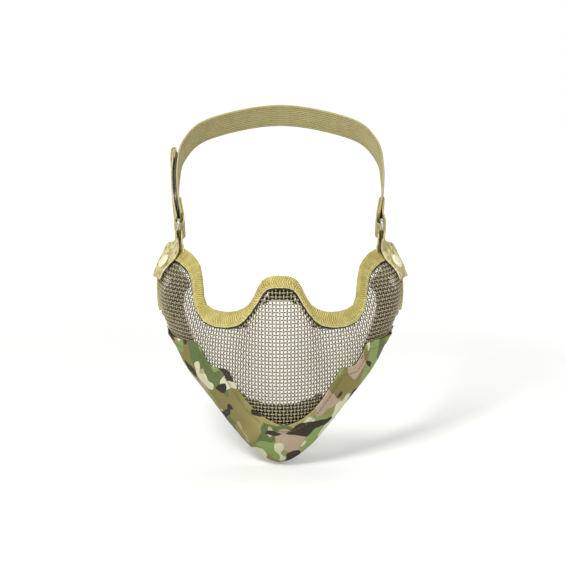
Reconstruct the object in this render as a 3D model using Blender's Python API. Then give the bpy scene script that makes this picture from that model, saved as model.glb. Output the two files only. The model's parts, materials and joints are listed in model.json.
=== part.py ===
"""Half-face mask: a stamped wire-mesh face shell with a taped edge, a cloth jaw cover,
foam pads, and a head strap hung on two D-rings.

Frame: +Z up, the face looks along -Y, +X is the viewer's right when facing the mask.
Lengths are in millimetres, and MM turns them into metres when a mesh is made. The pieces
are laid out from the midpoint between the centres of the two D-ring bows, and at the end
everything is moved so that the origin is the centre of the whole object's box.
"""

import math

import bmesh
import bpy
import numpy as np

MM = 0.001

# --- The face surface -------------------------------------------------------------
# Eight stations from the centre line to the rear edge of a wing. Each one gives the
# points of the shell's mid-surface at its top edge, one third and two thirds of the way
# down, and at its bottom edge. The other half is the mirror image.
STATIONS = np.array([
    [(0, -92, -13), (0, -101, -49), (0, -95, -98), (0, -75, -134.5)],
    [(9.6, -89.5, -16), (16, -96, -51), (17, -90, -97), (15, -71, -127.5)],
    [(18, -84.5, -32), (29, -84, -59), (31, -79, -93), (27, -63, -116.5)],
    [(33, -76, -39), (45, -73, -61), (45, -68, -86), (38.5, -54, -105)],
    [(49.5, -56, -37), (60.5, -55, -56), (60, -51, -75), (50.5, -40, -91)],
    [(53.5, -40, -20.5), (69, -38, -42), (70.5, -35, -62), (61, -28, -79)],
    [(58, -22, -12.5), (77, -21, -30), (79.5, -18, -48), (71, -14, -65.5)],
    [(75.5, 11, -9.5), (83.8, 11, -24), (85.3, 11, -40), (80.8, 9.5, -54.5)],
], float)
COVER_TOP = (0.74, 0.67, 0.52, 0.45, 0.46, 0.59, 0.82, 0.96)  # share of each station's depth

SHELL_THICKNESS = 1.2
SHELL_COLUMNS, SHELL_ROWS = 43, 9
GAP = 0.3                    # between neighbouring pieces

# --- Cloth and tape on the shell --------------------------------------------------
TAPE_THICKNESS = 0.8
TAPE_CLEARANCE = 0.80        # between the tape's legs and the shell
EDGE_CLEARANCE = 1.0         # between the tape's fold and the shell's edge
FOLD_BULGE = 0.1             # the fold stands this much further out than the legs do
FOLD_CORNER = 0.45           # share of a leg's offset at which the fold's corners lie
COVER_CLEARANCE = 0.9        # the padded cloth stands this far off the shell
TOP_TAPE_LEG = 7.2           # width of the tape seen on each side of the top edge
REAR_TAPE_LEG = 5.0
REAR_TAPE_DROPS = (0.14, 0.9)     # shares of the wing's depth where the rear tape ends
TOP_TAPE_END = 0.915         # station share where the top tape is cut
COVER_THICKNESS = 1.2
COVER_END = 0.985            # station share where the cover ends
COVER_TURN_IN = 11.0         # cloth turned under the bottom edge to the inside
COVER_TURN_IN_AT_END = 0.35  # share of it that is left at the wing's end
COVER_TAPER = 2.2            # how fast it grows to its full width from there
COVER_FOLD = 0.9             # the turned cloth bulges by this share of its offset

# --- Foam pads: each lies between two offsets inside the shell's mid-surface --------
EDGE_PAD_START = 1.5              # the pads along the top edge begin this far below it
NOSE_PAD_END, NOSE_PAD_DEPTH, NOSE_PAD_OFFSETS = 0.24, 14.0, (-7.2, -3.1)
CHEEK_PAD_RANGE, CHEEK_PAD_DEPTH, CHEEK_PAD_OFFSETS = (0.36, 0.66), 10.0, (-7.4, -2.8)
CHIN_PAD_END, CHIN_PAD_DROPS, CHIN_PAD_OFFSETS = 0.3, (0.66, 0.97), (-9.2, -3.3)
JAW_PAD_RANGE, JAW_PAD_DROPS, JAW_PAD_OFFSETS = (0.34, 0.62), (0.66, 0.93), (-8.2, -3.3)
SIDE_PAD_FRONTS, SIDE_PAD_REAR = (0.835, 0.665), 0.975     # at its top and its bottom
SIDE_PAD_DROPS, SIDE_PAD_OFFSETS = (0.12, 0.88), (-11.4, -6.7)

# --- Strap, rings and tabs --------------------------------------------------------
STRAP_PITCH = math.radians(36)    # the strap rises this much towards the rear
TAB_PITCH = math.radians(93)      # the tabs hang down the wings a little to the rear
RING_X = 70.0
WEBBING = 1.0                     # thickness of tabs, folds and tail
STRAP_HALF_WIDTH = 10.0
LOOP_HALF_WIDTH = 7.5             # the webbing is gathered where it passes a ring
TAB_HALF_WIDTH = 8.5
RING_WIRE_RADIUS = 1.2
BOW_RADIUS = 13.5
BAR_OFFSET = 3.5                  # from the bow's centre to the straight bar
CORNER_RADIUS = 2.4
FOLD_INNER_RADIUS = 2.45          # leaves the bow room to tilt inside the strap's fold
FOLD_CENTRE = 11.9
BAND_THICKNESS = 1.6
FASTENER_THICKNESS = 0.8
FASTENER_HALF_WIDTH = 9.0
LOOP_FASTENER_RANGE = (22.0, 84.0)
HOOK_FASTENER_RANGE = (26.0, 64.0)
FOLD_LEG_END = 36.0               # where the webbing round a ring ends on the band
FOLD_INNER_LEG_START = 19.0
FOLD_OUTER_LEG_START = 24.0
FOLD_STUB_END = 15.6              # the left fold's outer leg is the tail, a piece of its own
TAIL_START = 17.0
TAIL_END = 86.0
TAIL_FOLD_STARTS = (76.0, 74.0)   # inner and outer leg of the folded pull end
TAIL_FOLD_NOSE = 2.2              # the pull end's fold reaches this far past the tail
PEEL_START, PEEL_LENGTH = 66.0, 22.0
PEEL_LIFT = 0.7                   # how far the tail's loose end stands off
PEEL_CURL = 1.6
# Mid-line of the elastic band on one side: (distance from the middle, distance along
# the strap plane from the ring axis).
BAND_LINE = ((68.65, 17), (71.3, 32), (73.3, 50), (74, 69), (71, 96), (53, 121), (0, 137))

# --- Rivets -----------------------------------------------------------------------
TAB_LEAD = 3.0                    # the tab's legs run straight this far past the bar
TAB_OUTER_STOPS = (28, 23, 18, 14)          # distances down the wing, towards the ring
TAB_INNER_STOPS = (10, 12, 14, 18, 25)
TAB_OUTER_BOW = 2.2               # the free webbing between wing and ring bows out
TAB_INNER_BOW = 1.6
RIVET_ALONG_TAB = 17.5
TAB_CLEARANCE = 0.60              # a flat tab needs this much room over the curved wing
BAR_CLEARANCE = 0.25              # between the ring's bar and the tab folded round it
SEAT_CLEARANCE = 0.85             # between the tab and the rivet's cap or washer
RIVET_CAP_RADIUS = 5.25
RIVET_FLAT_RADIUS = 3.6
RIVET_SHOULDER_RADIUS = 4.7
RIVET_CAP_HEIGHT = 1.6
RIVET_RIM_HEIGHT = 0.35
RIVET_SHANK_RADIUS = 1.7
RIVET_CLINCH_RADIUS = 2.6
RIVET_CLINCH_TIP_RADIUS = 2.3
RIVET_CLINCH_HEIGHT = 0.6
RIVET_CENTRE_RADIUS = 0.4         # the turned profile closes with a small flat
WASHER_RADIUS = 4.5
WASHER_THICKNESS = 0.8
HOLE_HALF_LENGTH = 12.0
ROUND_SIDES = 20

COLOURS = {                       # colour, roughness, metallic
    "wire_mesh": ((0.42, 0.37, 0.25, 1), 0.55, 0.2),
    "khaki_tape": ((0.50, 0.42, 0.16, 1), 0.9, 0.0),
    "camo_cloth": ((0.27, 0.25, 0.13, 1), 0.95, 0.0),
    "black_foam": ((0.02, 0.02, 0.022, 1), 0.95, 0.0),
    "dark_webbing": ((0.10, 0.09, 0.06, 1), 0.9, 0.0),
    "ribbed_elastic": ((0.30, 0.27, 0.18, 1), 0.9, 0.0),
    "hook_and_loop": ((0.03, 0.03, 0.03, 1), 1.0, 0.0),
    "ring_steel": ((0.6, 0.6, 0.58, 1), 0.25, 1.0),
    "rivet_paint": ((0.72, 0.68, 0.52, 1), 0.45, 0.3),
}

TAPE_CLEAR = SHELL_THICKNESS / 2 + TAPE_CLEARANCE
TAPE_FAR = TAPE_CLEAR + TAPE_THICKNESS
COVER_CLEAR = SHELL_THICKNESS / 2 + COVER_CLEARANCE
COVER_FAR = COVER_CLEAR + COVER_THICKNESS
FASTENER_OFFSET = BAND_THICKNESS / 2 + GAP + FASTENER_THICKNESS / 2
STRAP_ALONG = np.array((0, math.cos(STRAP_PITCH), math.sin(STRAP_PITCH)))
STRAP_ACROSS = np.array((0, -math.sin(STRAP_PITCH), math.cos(STRAP_PITCH)))
TAB_ACROSS = np.array((0, -math.sin(TAB_PITCH), math.cos(TAB_PITCH)))
SIDEWAYS = np.array((1.0, 0, 0))


# --- Curves and the surface -------------------------------------------------------
def spline(points, share):
    """A point on the smooth curve through evenly spaced points, with share from 0 to 1."""
    points = np.asarray(points, float)
    spans = len(points) - 1
    place = min(max(share, 0.0), 1.0) * spans
    i = min(int(place), spans - 1)
    t = place - i
    before = points[i - 1] if i else 2 * points[0] - points[1]
    after = points[i + 2] if i + 2 <= spans else 2 * points[-1] - points[-2]
    a, b = points[i], points[i + 1]
    return 0.5 * (
        2 * a + (b - before) * t
        + (2 * before - 5 * a + 4 * b - after) * t ** 2
        + (3 * a - 3 * b + after - before) * t ** 3
    )


def mirrored_list(points):
    """The points of one half, run from the mirrored far end to the given far end."""
    points = np.asarray(points, float)
    return np.concatenate([points[:0:-1] * np.array((-1, 1, 1)), points])


def face_point(u, v):
    """Mid-surface point: u from -1 (wing at -X) to 1, v from 0 (top) to 1 (bottom)."""
    rows = [spline(mirrored_list(STATIONS[:, row]), (u + 1) / 2) for row in range(4)]
    third = v * 3
    weights = (
        -(third - 1) * (third - 2) * (third - 3) / 6,
        third * (third - 2) * (third - 3) / 2,
        -third * (third - 1) * (third - 3) / 2,
        third * (third - 1) * (third - 2) / 6,
    )
    return sum(weight * row for weight, row in zip(weights, rows))


def face_slopes(u, v, step=1e-3):
    across = (face_point(min(u + step, 1), v) - face_point(max(u - step, -1), v))
    across /= min(u + step, 1) - max(u - step, -1)
    down = (face_point(u, v + step) - face_point(u, v - step)) / (2 * step)
    return across, down


def face_normal(u, v):
    """Unit normal pointing away from the face."""
    across, down = face_slopes(u, v)
    normal = np.cross(down, across)
    return normal / np.linalg.norm(normal)


def off_face(u, v, offset):
    return face_point(u, v) + offset * face_normal(u, v)


def walk(u, v, direction, distance, steps=5):
    """(u, v) after going this far over the surface in a direction of space."""
    for _ in range(steps):
        slopes = np.array(face_slopes(u, v)).T
        move = np.linalg.lstsq(slopes, np.asarray(direction) * distance / steps, rcond=None)[0]
        u = min(max(u + move[0], -1), 1)
        v = v + move[1]
    return u, v


def find_on_wing(y, z, side):
    """(u, v) of the wing's point with this y and z."""
    u, v = 0.93 * side, 0.3
    for _ in range(12):
        slopes = np.array(face_slopes(u, v))[:, 1:].T
        miss = np.array((y, z)) - face_point(u, v)[1:]
        move = np.linalg.solve(slopes, miss)
        u = min(max(u + move[0], -1), 1)
        v = v + move[1]
    return u, v


# --- Mesh makers ------------------------------------------------------------------
def material(name):
    found = bpy.data.materials.get(name)
    if found:
        return found
    colour, roughness, metallic = COLOURS[name]
    made = bpy.data.materials.new(name)
    made.use_nodes = True
    made.diffuse_color = colour
    shader = made.node_tree.nodes["Principled BSDF"]
    shader.inputs["Base Color"].default_value = colour
    shader.inputs["Roughness"].default_value = roughness
    shader.inputs["Metallic"].default_value = metallic
    return made


def make_object(name, points, faces, colour, pivot=None):
    """An object from points in millimetres, hung on its pivot empty where it has one."""
    origin = np.array(pivot.location) if pivot else np.zeros(3)
    mesh = bpy.data.meshes.new(name)
    mesh.from_pydata([tuple(point * MM - origin) for point in points], [], faces)
    shape = bmesh.new()
    shape.from_mesh(mesh)
    bmesh.ops.recalc_face_normals(shape, faces=shape.faces)
    shape.to_mesh(mesh)
    shape.free()
    mesh.materials.append(material(colour))
    mesh.shade_smooth()
    mesh.set_sharp_from_angle(angle=math.radians(35))
    made = bpy.data.objects.new(name, mesh)
    bpy.context.scene.collection.objects.link(made)
    if pivot:
        made.parent = pivot
    return made


def make_pivot(name, place):
    pivot = bpy.data.objects.new(name, None)
    pivot.empty_display_size = 10 * MM
    pivot.location = np.asarray(place) * MM
    bpy.context.scene.collection.objects.link(pivot)
    return pivot


def loft(name, sections, colour, pivot=None, closed=False):
    """A solid through sections that all have the same number of points."""
    count = len(sections[0])
    points = [point for section in sections for point in section]
    faces = []
    spans = len(sections) if closed else len(sections) - 1
    for i in range(spans):
        here, there = i * count, (i + 1) % len(sections) * count
        for j in range(count):
            k = (j + 1) % count
            faces.append((here + j, here + k, there + k, there + j))
    if not closed:
        faces.append(tuple(range(count)))
        faces.append(tuple(range(len(points) - count, len(points))))
    return make_object(name, points, faces, colour, pivot)


def sheet(name, spots, low, high, colour):
    """A closed sheet over a grid of (u, v) spots, from one offset to the other."""
    rows, columns = len(spots), len(spots[0])
    points = [off_face(u, v, high) for row in spots for u, v in row]
    points += [off_face(u, v, low) for row in spots for u, v in row]
    under = rows * columns
    faces = []
    for i in range(rows - 1):
        for j in range(columns - 1):
            a = i * columns + j
            quad = (a, a + 1, a + columns + 1, a + columns)
            faces.append(quad)
            faces.append(tuple(under + corner for corner in reversed(quad)))
    rim = [j for j in range(columns)]
    rim += [i * columns + columns - 1 for i in range(1, rows)]
    rim += [(rows - 1) * columns + j for j in range(columns - 2, -1, -1)]
    rim += [i * columns for i in range(rows - 2, 0, -1)]
    for a, b in zip(rim, rim[1:] + rim[:1]):
        faces.append((b, a, under + a, under + b))
    return make_object(name, points, faces, colour)


def ribbon(name, frames, thickness, half_width, colour, pivot=None):
    """Flat webbing along frames of (centre, thickness direction, width direction)."""
    sections = []
    for centre, through, across in frames:
        half = thickness / 2
        sections.append([
            centre + through * half + across * half_width,
            centre - through * half + across * half_width,
            centre - through * half - across * half_width,
            centre + through * half - across * half_width,
        ])
    return loft(name, sections, colour, pivot)


def lathe(name, profile, centre, axis, colour, hollow=False):
    """A turned solid from (radius, height) pairs about an axis through centre."""
    side = np.cross(axis, (0, 0, 1.0))
    side /= np.linalg.norm(side)
    other = np.cross(axis, side)
    sections = []
    for i in range(ROUND_SIDES):
        angle = 2 * math.pi * i / ROUND_SIDES
        out = side * math.cos(angle) + other * math.sin(angle)
        sections.append([centre + axis * height + out * radius for radius, height in profile])
    if hollow:
        return loft(name, sections, colour, closed=True)
    rings = list(zip(*sections))
    return loft(name, rings, colour)


def cut(target, cutter):
    cutter.hide_render = True
    cutter.display_type = "WIRE"
    step = target.modifiers.new("hole", "BOOLEAN")
    step.operation = "DIFFERENCE"
    step.object = cutter


# --- Face shell, tapes and cover --------------------------------------------------
def edge_sections(places, leg, inward):
    """U sections of tape folded over an edge. inward(u, v) points into the sheet."""
    sections = []
    for u, v in places:
        direction = inward(u, v)
        normal = face_normal(u, v)
        edge = face_point(u, v)
        end = walk(u, v, direction, leg)
        middle = walk(u, v, direction, leg / 2)
        fold = edge - direction * (TAPE_FAR + FOLD_BULGE)
        sections.append([
            off_face(*end, TAPE_FAR),
            off_face(*middle, TAPE_FAR),
            edge + normal * TAPE_FAR,
            fold + normal * TAPE_FAR * FOLD_CORNER,
            fold - normal * TAPE_FAR * FOLD_CORNER,
            edge - normal * TAPE_FAR,
            off_face(*end, -TAPE_FAR),
            off_face(*end, -TAPE_CLEAR),
            edge - normal * TAPE_CLEAR,
            edge - direction * EDGE_CLEARANCE,
            edge + normal * TAPE_CLEAR,
            off_face(*middle, TAPE_CLEAR),
            off_face(*end, TAPE_CLEAR),
        ])
    return sections


def into_sheet_from_top(u, v):
    across, _ = face_slopes(u, v)
    direction = np.cross(across, face_normal(u, v))
    return direction / np.linalg.norm(direction)


def into_sheet_from_rear(u, v):
    _, down = face_slopes(u, v)
    direction = np.cross(down / np.linalg.norm(down), face_normal(u, v))
    forward = direction / np.linalg.norm(direction)
    return forward if forward[1] < 0 else -forward


def build_shell():
    spots = [[(u, v) for u in np.linspace(-1, 1, SHELL_COLUMNS)]
             for v in np.linspace(0, 1, SHELL_ROWS)]
    half = SHELL_THICKNESS / 2
    return sheet("mesh_face_shell", spots, -half, half, "wire_mesh")


def build_top_binding():
    places = [(u, 0.0) for u in np.linspace(-TOP_TAPE_END, TOP_TAPE_END, 53)]
    loft("top_edge_binding", edge_sections(places, TOP_TAPE_LEG, into_sheet_from_top),
         "khaki_tape")


def build_rear_binding(side, word):
    places = [(float(side), v) for v in np.linspace(*REAR_TAPE_DROPS, 7)]
    loft("rear_edge_binding_" + word,
         edge_sections(places, REAR_TAPE_LEG, into_sheet_from_rear), "khaki_tape")


def cover_top(u):
    return spline(np.array(COVER_TOP)[:, None], abs(u))[0]


def build_jaw_cover():
    """Camouflage cloth over the jaw, turned under the bottom edge to the inside."""
    sections = []
    for u in np.linspace(-COVER_END, COVER_END, 41):
        top = cover_top(u)
        drops = [top + (1 - top) * share for share in (0, 0.33, 0.67)]
        normal = face_normal(u, 1)
        edge = face_point(u, 1)
        out = into_sheet_from_top(u, 1)
        width = COVER_TURN_IN * min(1, COVER_TURN_IN_AT_END + COVER_TAPER * (1 - abs(u)))
        turned = walk(u, 1, -out, width)
        fold = edge + out * COVER_FAR * COVER_FOLD
        sections.append(
            [off_face(u, v, COVER_FAR) for v in drops]
            + [edge + normal * COVER_FAR,
               fold + normal * COVER_FAR * FOLD_CORNER,
               fold - normal * COVER_FAR * FOLD_CORNER,
               edge - normal * COVER_FAR,
               off_face(*turned, -COVER_FAR),
               off_face(*turned, -COVER_CLEAR),
               edge - normal * COVER_CLEAR,
               edge + out * GAP,
               edge + normal * COVER_CLEAR]
            + [off_face(u, v, COVER_CLEAR) for v in reversed(drops)])
    loft("jaw_cover", sections, "camo_cloth")


# --- Foam pads --------------------------------------------------------------------
def build_pad(name, u_range, v_range, offsets, columns, rows):
    spots = [[(u, v) for u in np.linspace(*u_range, columns)]
             for v in np.linspace(*v_range, rows)]
    sheet(name, spots, *offsets, "black_foam")


def build_edge_pad(name, u_range, depth, offsets, columns):
    """A foam strip that follows the top edge on the inside."""
    spots = []
    for reach in np.linspace(EDGE_PAD_START, depth, 3):
        spots.append([walk(u, 0.0, into_sheet_from_top(u, 0.0), reach)
                      for u in np.linspace(*u_range, columns)])
    sheet(name, spots, *offsets, "black_foam")


def build_side_pad(side, word):
    """The foam behind a wing. Its front edge leans forward towards the bottom."""
    spots = []
    for share in np.linspace(0, 1, 6):
        front = SIDE_PAD_FRONTS[0] + (SIDE_PAD_FRONTS[1] - SIDE_PAD_FRONTS[0]) * share
        drop = SIDE_PAD_DROPS[0] + (SIDE_PAD_DROPS[1] - SIDE_PAD_DROPS[0]) * share
        spots.append([(u * side, drop) for u in np.linspace(front, SIDE_PAD_REAR, 6)])
    sheet("side_pad_" + word, spots, *SIDE_PAD_OFFSETS, "black_foam")


def build_pads():
    build_edge_pad("nose_pad", (-NOSE_PAD_END, NOSE_PAD_END), NOSE_PAD_DEPTH, NOSE_PAD_OFFSETS, 15)
    build_pad("chin_pad", (-CHIN_PAD_END, CHIN_PAD_END), CHIN_PAD_DROPS, CHIN_PAD_OFFSETS, 11, 5)
    for side, word in ((-1, "left"), (1, "right")):
        span = sorted(side * u for u in CHEEK_PAD_RANGE)
        build_edge_pad("cheek_pad_" + word, span, CHEEK_PAD_DEPTH, CHEEK_PAD_OFFSETS, 11)
        span = sorted(side * u for u in JAW_PAD_RANGE)
        build_pad("jaw_pad_" + word, span, JAW_PAD_DROPS, JAW_PAD_OFFSETS, 9, 4)
        build_side_pad(side, word)


# --- Strap ------------------------------------------------------------------------
def strap_place(x, along):
    return SIDEWAYS * x + STRAP_ALONG * along


def band_line():
    """Mid-line of the band as (x, along) pairs from the ring at -X to the ring at +X."""
    half = np.array([(x, along, 0) for x, along in BAND_LINE][::-1])
    line = mirrored_list(half)
    return [spline(line, share)[:2] for share in np.linspace(0, 1, 61)]


def with_normals(line):
    """Adds to each (x, along) pair the unit direction away from the head."""
    line = np.asarray(line, float)
    slope = np.gradient(line, axis=0)
    slope /= np.linalg.norm(slope, axis=1)[:, None]
    return line, np.stack([-slope[:, 1], slope[:, 0]], axis=1)


def to_frames(line):
    return [(strap_place(*place), strap_place(*normal), STRAP_ACROSS)
            for place, normal in zip(*with_normals(line))]


def band_at(along):
    """(x, along) of the band's mid-line on the +X side at this distance."""
    half = np.array(BAND_LINE, float)
    low, high = 0.0, 0.7
    for _ in range(40):
        middle = (low + high) / 2
        if spline(half, middle)[1] < along:
            low = middle
        else:
            high = middle
    return spline(half, low)


def side_line(side, start, end, count, offset):
    """Pairs parallel to the band on one side, at an offset that may change on the way."""
    stops = np.linspace(start, end, count)
    line = np.array([band_at(stop) for stop in stops])
    slope = np.gradient(line, axis=0)
    slope /= np.linalg.norm(slope, axis=1)[:, None]
    away = np.stack([slope[:, 1], -slope[:, 0]], axis=1) * math.copysign(1, end - start)
    reach = np.array([offset(stop) if callable(offset) else offset for stop in stops])
    line = line + away * reach[:, None]
    return line * np.array((side, 1))


def fold_arc(side):
    """The half turn of webbing round a ring's bow, from the head's side to the outside."""
    radius = FOLD_INNER_RADIUS + WEBBING / 2
    turn = np.linspace(0, math.pi, 9)
    return [
        (side * (RING_X - radius * math.cos(angle)), FOLD_CENTRE - radius * math.sin(angle))
        for angle in turn]


def tail_offset(along):
    """The free end stands off the band where it has been peeled."""
    layers = BAND_THICKNESS / 2 + 2 * FASTENER_THICKNESS + 3 * GAP + WEBBING / 2
    return layers + PEEL_LIFT * max(0.0, (along - PEEL_START) / PEEL_LENGTH) ** PEEL_CURL


def build_fold(side, word, pivot):
    """Webbing sewn to the band's end and passed round a ring."""
    leg = BAND_THICKNESS / 2 + GAP + WEBBING / 2
    line = list(side_line(side, FOLD_LEG_END, FOLD_INNER_LEG_START, 5, -leg)) + fold_arc(side)
    if side > 0:
        line += list(side_line(side, FOLD_OUTER_LEG_START, FOLD_LEG_END, 4, leg))
    else:
        line.append((-(RING_X + FOLD_INNER_RADIUS + WEBBING / 2), FOLD_STUB_END))
        line.reverse()
    ribbon("strap_fold_" + word, to_frames(line), WEBBING, LOOP_HALF_WIDTH,
           "dark_webbing", pivot)


def build_tail(pivot):
    """The adjustable end with its hook strip and its folded pull end."""
    hook_offset = FASTENER_OFFSET + FASTENER_THICKNESS + GAP
    line = side_line(-1, *HOOK_FASTENER_RANGE, 9, hook_offset)
    ribbon("strap_hook_fastener", to_frames(line), FASTENER_THICKNESS, FASTENER_HALF_WIDTH,
           "hook_and_loop", pivot)
    line = side_line(-1, TAIL_START, TAIL_END, 19, tail_offset)
    ribbon("strap_tail", to_frames(line), WEBBING, STRAP_HALF_WIDTH, "dark_webbing", pivot)
    reach = WEBBING + GAP
    inner_start, outer_start = TAIL_FOLD_STARTS
    inner = side_line(-1, inner_start, TAIL_END + GAP, 5, lambda along: tail_offset(along) - reach)
    outer = side_line(-1, TAIL_END + GAP, outer_start, 5, lambda along: tail_offset(along) + reach)
    nose = side_line(-1, TAIL_END + TAIL_FOLD_NOSE, TAIL_END + TAIL_FOLD_NOSE + 0.1, 2, tail_offset)
    line = np.concatenate([inner, nose[:1], outer])[::-1]
    ribbon("tail_end_fold", to_frames(line), WEBBING, STRAP_HALF_WIDTH, "dark_webbing", pivot)


def build_strap():
    """The band with its folds and loop strip, then the tail, which peels at its own pivot."""
    pivot = make_pivot("strap_pivot", (0, 0, 0))
    ribbon("head_strap_band", to_frames(band_line()), BAND_THICKNESS, STRAP_HALF_WIDTH,
           "ribbed_elastic", pivot)
    for side, word in ((1, "right"), (-1, "left")):
        build_fold(side, word, pivot)
    line = side_line(-1, *LOOP_FASTENER_RANGE, 14, FASTENER_OFFSET)
    ribbon("strap_loop_fastener", to_frames(line), FASTENER_THICKNESS, FASTENER_HALF_WIDTH,
           "hook_and_loop", pivot)
    outside = RING_X + FOLD_INNER_RADIUS + WEBBING
    build_tail(make_pivot("tail_pivot", strap_place(-outside, TAIL_START - GAP)))


# --- Rings, tabs and rivets -------------------------------------------------------
def ring_line():
    """The D outline as (along, across) pairs: bow, corner, straight bar, corner."""
    corner_along = BAR_OFFSET + CORNER_RADIUS
    reach = BOW_RADIUS - CORNER_RADIUS
    corner_across = math.sqrt(reach ** 2 - corner_along ** 2)
    bow_end = math.atan2(corner_across, corner_along)
    line = [(BOW_RADIUS * math.cos(a), BOW_RADIUS * math.sin(a))
            for a in np.linspace(-bow_end, bow_end, 11)]
    turn = [(corner_along + CORNER_RADIUS * math.cos(a), corner_across + CORNER_RADIUS * math.sin(a))
            for a in np.linspace(bow_end, math.pi, 5)[1:]]
    line += turn
    line += [(along, -across) for along, across in reversed(turn)]
    return line


def build_ring(side, word):
    pivot = make_pivot("ring_pivot_" + word, SIDEWAYS * RING_X * side + STRAP_ALONG * BAR_OFFSET)
    line = np.array(ring_line())
    ahead = np.roll(line, -1, axis=0) - line
    ahead /= np.linalg.norm(ahead, axis=1)[:, None]
    slope = ahead + np.roll(ahead, 1, axis=0)
    slope /= np.linalg.norm(slope, axis=1)[:, None]
    sections = []
    for (along, across), (da, dc) in zip(line, slope):
        centre = strap_place(RING_X * side, along) + STRAP_ACROSS * across
        out = STRAP_ALONG * dc - STRAP_ACROSS * da
        sections.append([
            centre + RING_WIRE_RADIUS * (out * math.cos(a) + SIDEWAYS * math.sin(a))
            for a in np.linspace(0, 2 * math.pi, 8, endpoint=False)])
    loft("d_ring_" + word, sections, "ring_steel", pivot, closed=True)


def tab_spot(side, down):
    """(u, v) on the wing this far down the tab's centre line."""
    return find_on_wing(-down * math.cos(TAB_PITCH), -down * math.sin(TAB_PITCH), side)


def tab_frame(side, down, offset):
    spot = tab_spot(side, down)
    normal = face_normal(*spot)
    across = TAB_ACROSS - normal * np.dot(TAB_ACROSS, normal)
    return face_point(*spot) + normal * offset, normal, across / np.linalg.norm(across)


def bridge(first, last, bow, count=4):
    """Frames of free webbing between two frames, bowed to the side that faces out."""
    frames = []
    for share in np.linspace(0, 1, count + 2)[1:-1]:
        centre, through, across = (a * (1 - share) + b * share for a, b in zip(first, last))
        through /= np.linalg.norm(through)
        across -= through * np.dot(through, across)
        frames.append((centre + through * bow * math.sin(math.pi * share), through,
                       across / np.linalg.norm(across)))
    return frames


def build_tab(side, word):
    """Webbing folded round the ring's bar, one leg on each face of the wing."""
    clear = TAPE_FAR + TAB_CLEARANCE + WEBBING / 2
    centre = SIDEWAYS * RING_X * side + STRAP_ALONG * BAR_OFFSET
    radius = RING_WIRE_RADIUS + BAR_CLEARANCE + WEBBING / 2
    frames = [tab_frame(side, down, clear) for down in TAB_OUTER_STOPS]
    away = SIDEWAYS * side
    lead = STRAP_ALONG * -TAB_LEAD
    start = (centre + away * radius + lead, away, STRAP_ACROSS)
    frames += bridge(frames[-1], start, TAB_OUTER_BOW)
    frames.append(start)
    for angle in np.linspace(0, math.pi, 7):
        out = away * math.cos(angle) + STRAP_ALONG * math.sin(angle)
        frames.append((centre + out * radius, out, STRAP_ACROSS))
    frames.append((centre - away * radius + lead, -away, STRAP_ACROSS))
    inner = []
    for down in TAB_INNER_STOPS:
        centre, normal, across = tab_frame(side, down, -clear)
        inner.append((centre, -normal, across))
    frames += bridge(frames[-1], inner[0], TAB_INNER_BOW) + inner
    return ribbon("strap_tab_" + word, frames, WEBBING, TAB_HALF_WIDTH, "dark_webbing")


def build_rivet(side, word, tab, shell):
    """Cap outside the tab, shank through tab and shell, washer and clinched end inside."""
    spot = tab_spot(side, RIVET_ALONG_TAB)
    centre, axis = face_point(*spot), face_normal(*spot)
    seat = TAPE_FAR + TAB_CLEARANCE + WEBBING + SEAT_CLEARANCE
    cap = seat + RIVET_CAP_HEIGHT
    shoulder = seat + RIVET_CAP_HEIGHT * 0.75
    washer_end = seat + WASHER_THICKNESS
    tail = washer_end + GAP
    tip = tail + RIVET_CLINCH_HEIGHT
    lathe("tab_rivet_" + word, [
        (RIVET_CENTRE_RADIUS, cap), (RIVET_FLAT_RADIUS, cap),
        (RIVET_SHOULDER_RADIUS, shoulder), (RIVET_CAP_RADIUS, seat + RIVET_RIM_HEIGHT),
        (RIVET_CAP_RADIUS, seat), (RIVET_SHANK_RADIUS, seat),
        (RIVET_SHANK_RADIUS, -tail), (RIVET_CLINCH_RADIUS, -tail),
        (RIVET_CLINCH_TIP_RADIUS, -tip), (RIVET_CENTRE_RADIUS, -tip),
    ], centre, axis, "rivet_paint")
    hole_radius = RIVET_SHANK_RADIUS + GAP
    lathe("rivet_washer_" + word, [
        (WASHER_RADIUS, -seat), (WASHER_RADIUS, -washer_end),
        (hole_radius, -washer_end), (hole_radius, -seat),
    ], centre, axis, "rivet_paint", hollow=True)
    hole = lathe("rivet_hole_" + word, [
        (hole_radius, HOLE_HALF_LENGTH), (hole_radius, -HOLE_HALF_LENGTH),
    ], centre, axis, "rivet_paint")
    cut(tab, hole)
    cut(shell, hole)


def centre_on_box():
    """Moves everything so that the origin is the centre of the whole object's box."""
    bpy.context.view_layer.update()
    corners = np.array([
        made.matrix_world @ vertex.co
        for made in bpy.data.objects if made.type == "MESH" and not made.hide_render
        for vertex in made.data.vertices])
    middle = (corners.min(axis=0) + corners.max(axis=0)) / 2
    for made in bpy.data.objects:
        if not made.parent:
            made.location = np.array(made.location) - middle


def main():
    for old in list(bpy.data.objects):
        bpy.data.objects.remove(old)
    shell = build_shell()
    build_top_binding()
    build_jaw_cover()
    build_pads()
    build_strap()
    for side, word in ((-1, "left"), (1, "right")):
        build_rear_binding(side, word)
        build_ring(side, word)
        tab = build_tab(side, word)
        build_rivet(side, word, tab, shell)
    centre_on_box()


main()
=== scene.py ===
"""Looks of the half-face mesh mask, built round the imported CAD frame.

Everything on the face is laid out on one smooth field, read off the CAD shell: the
distance of the shell from an upright axis, over the angle round that axis and the height.
Every strip of webbing follows the centre line of the CAD strip it stands for.
"""
import json
import math

import bmesh
import bpy
import numpy as np
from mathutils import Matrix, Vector, noise
from mathutils.bvhtree import BVHTree

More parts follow.
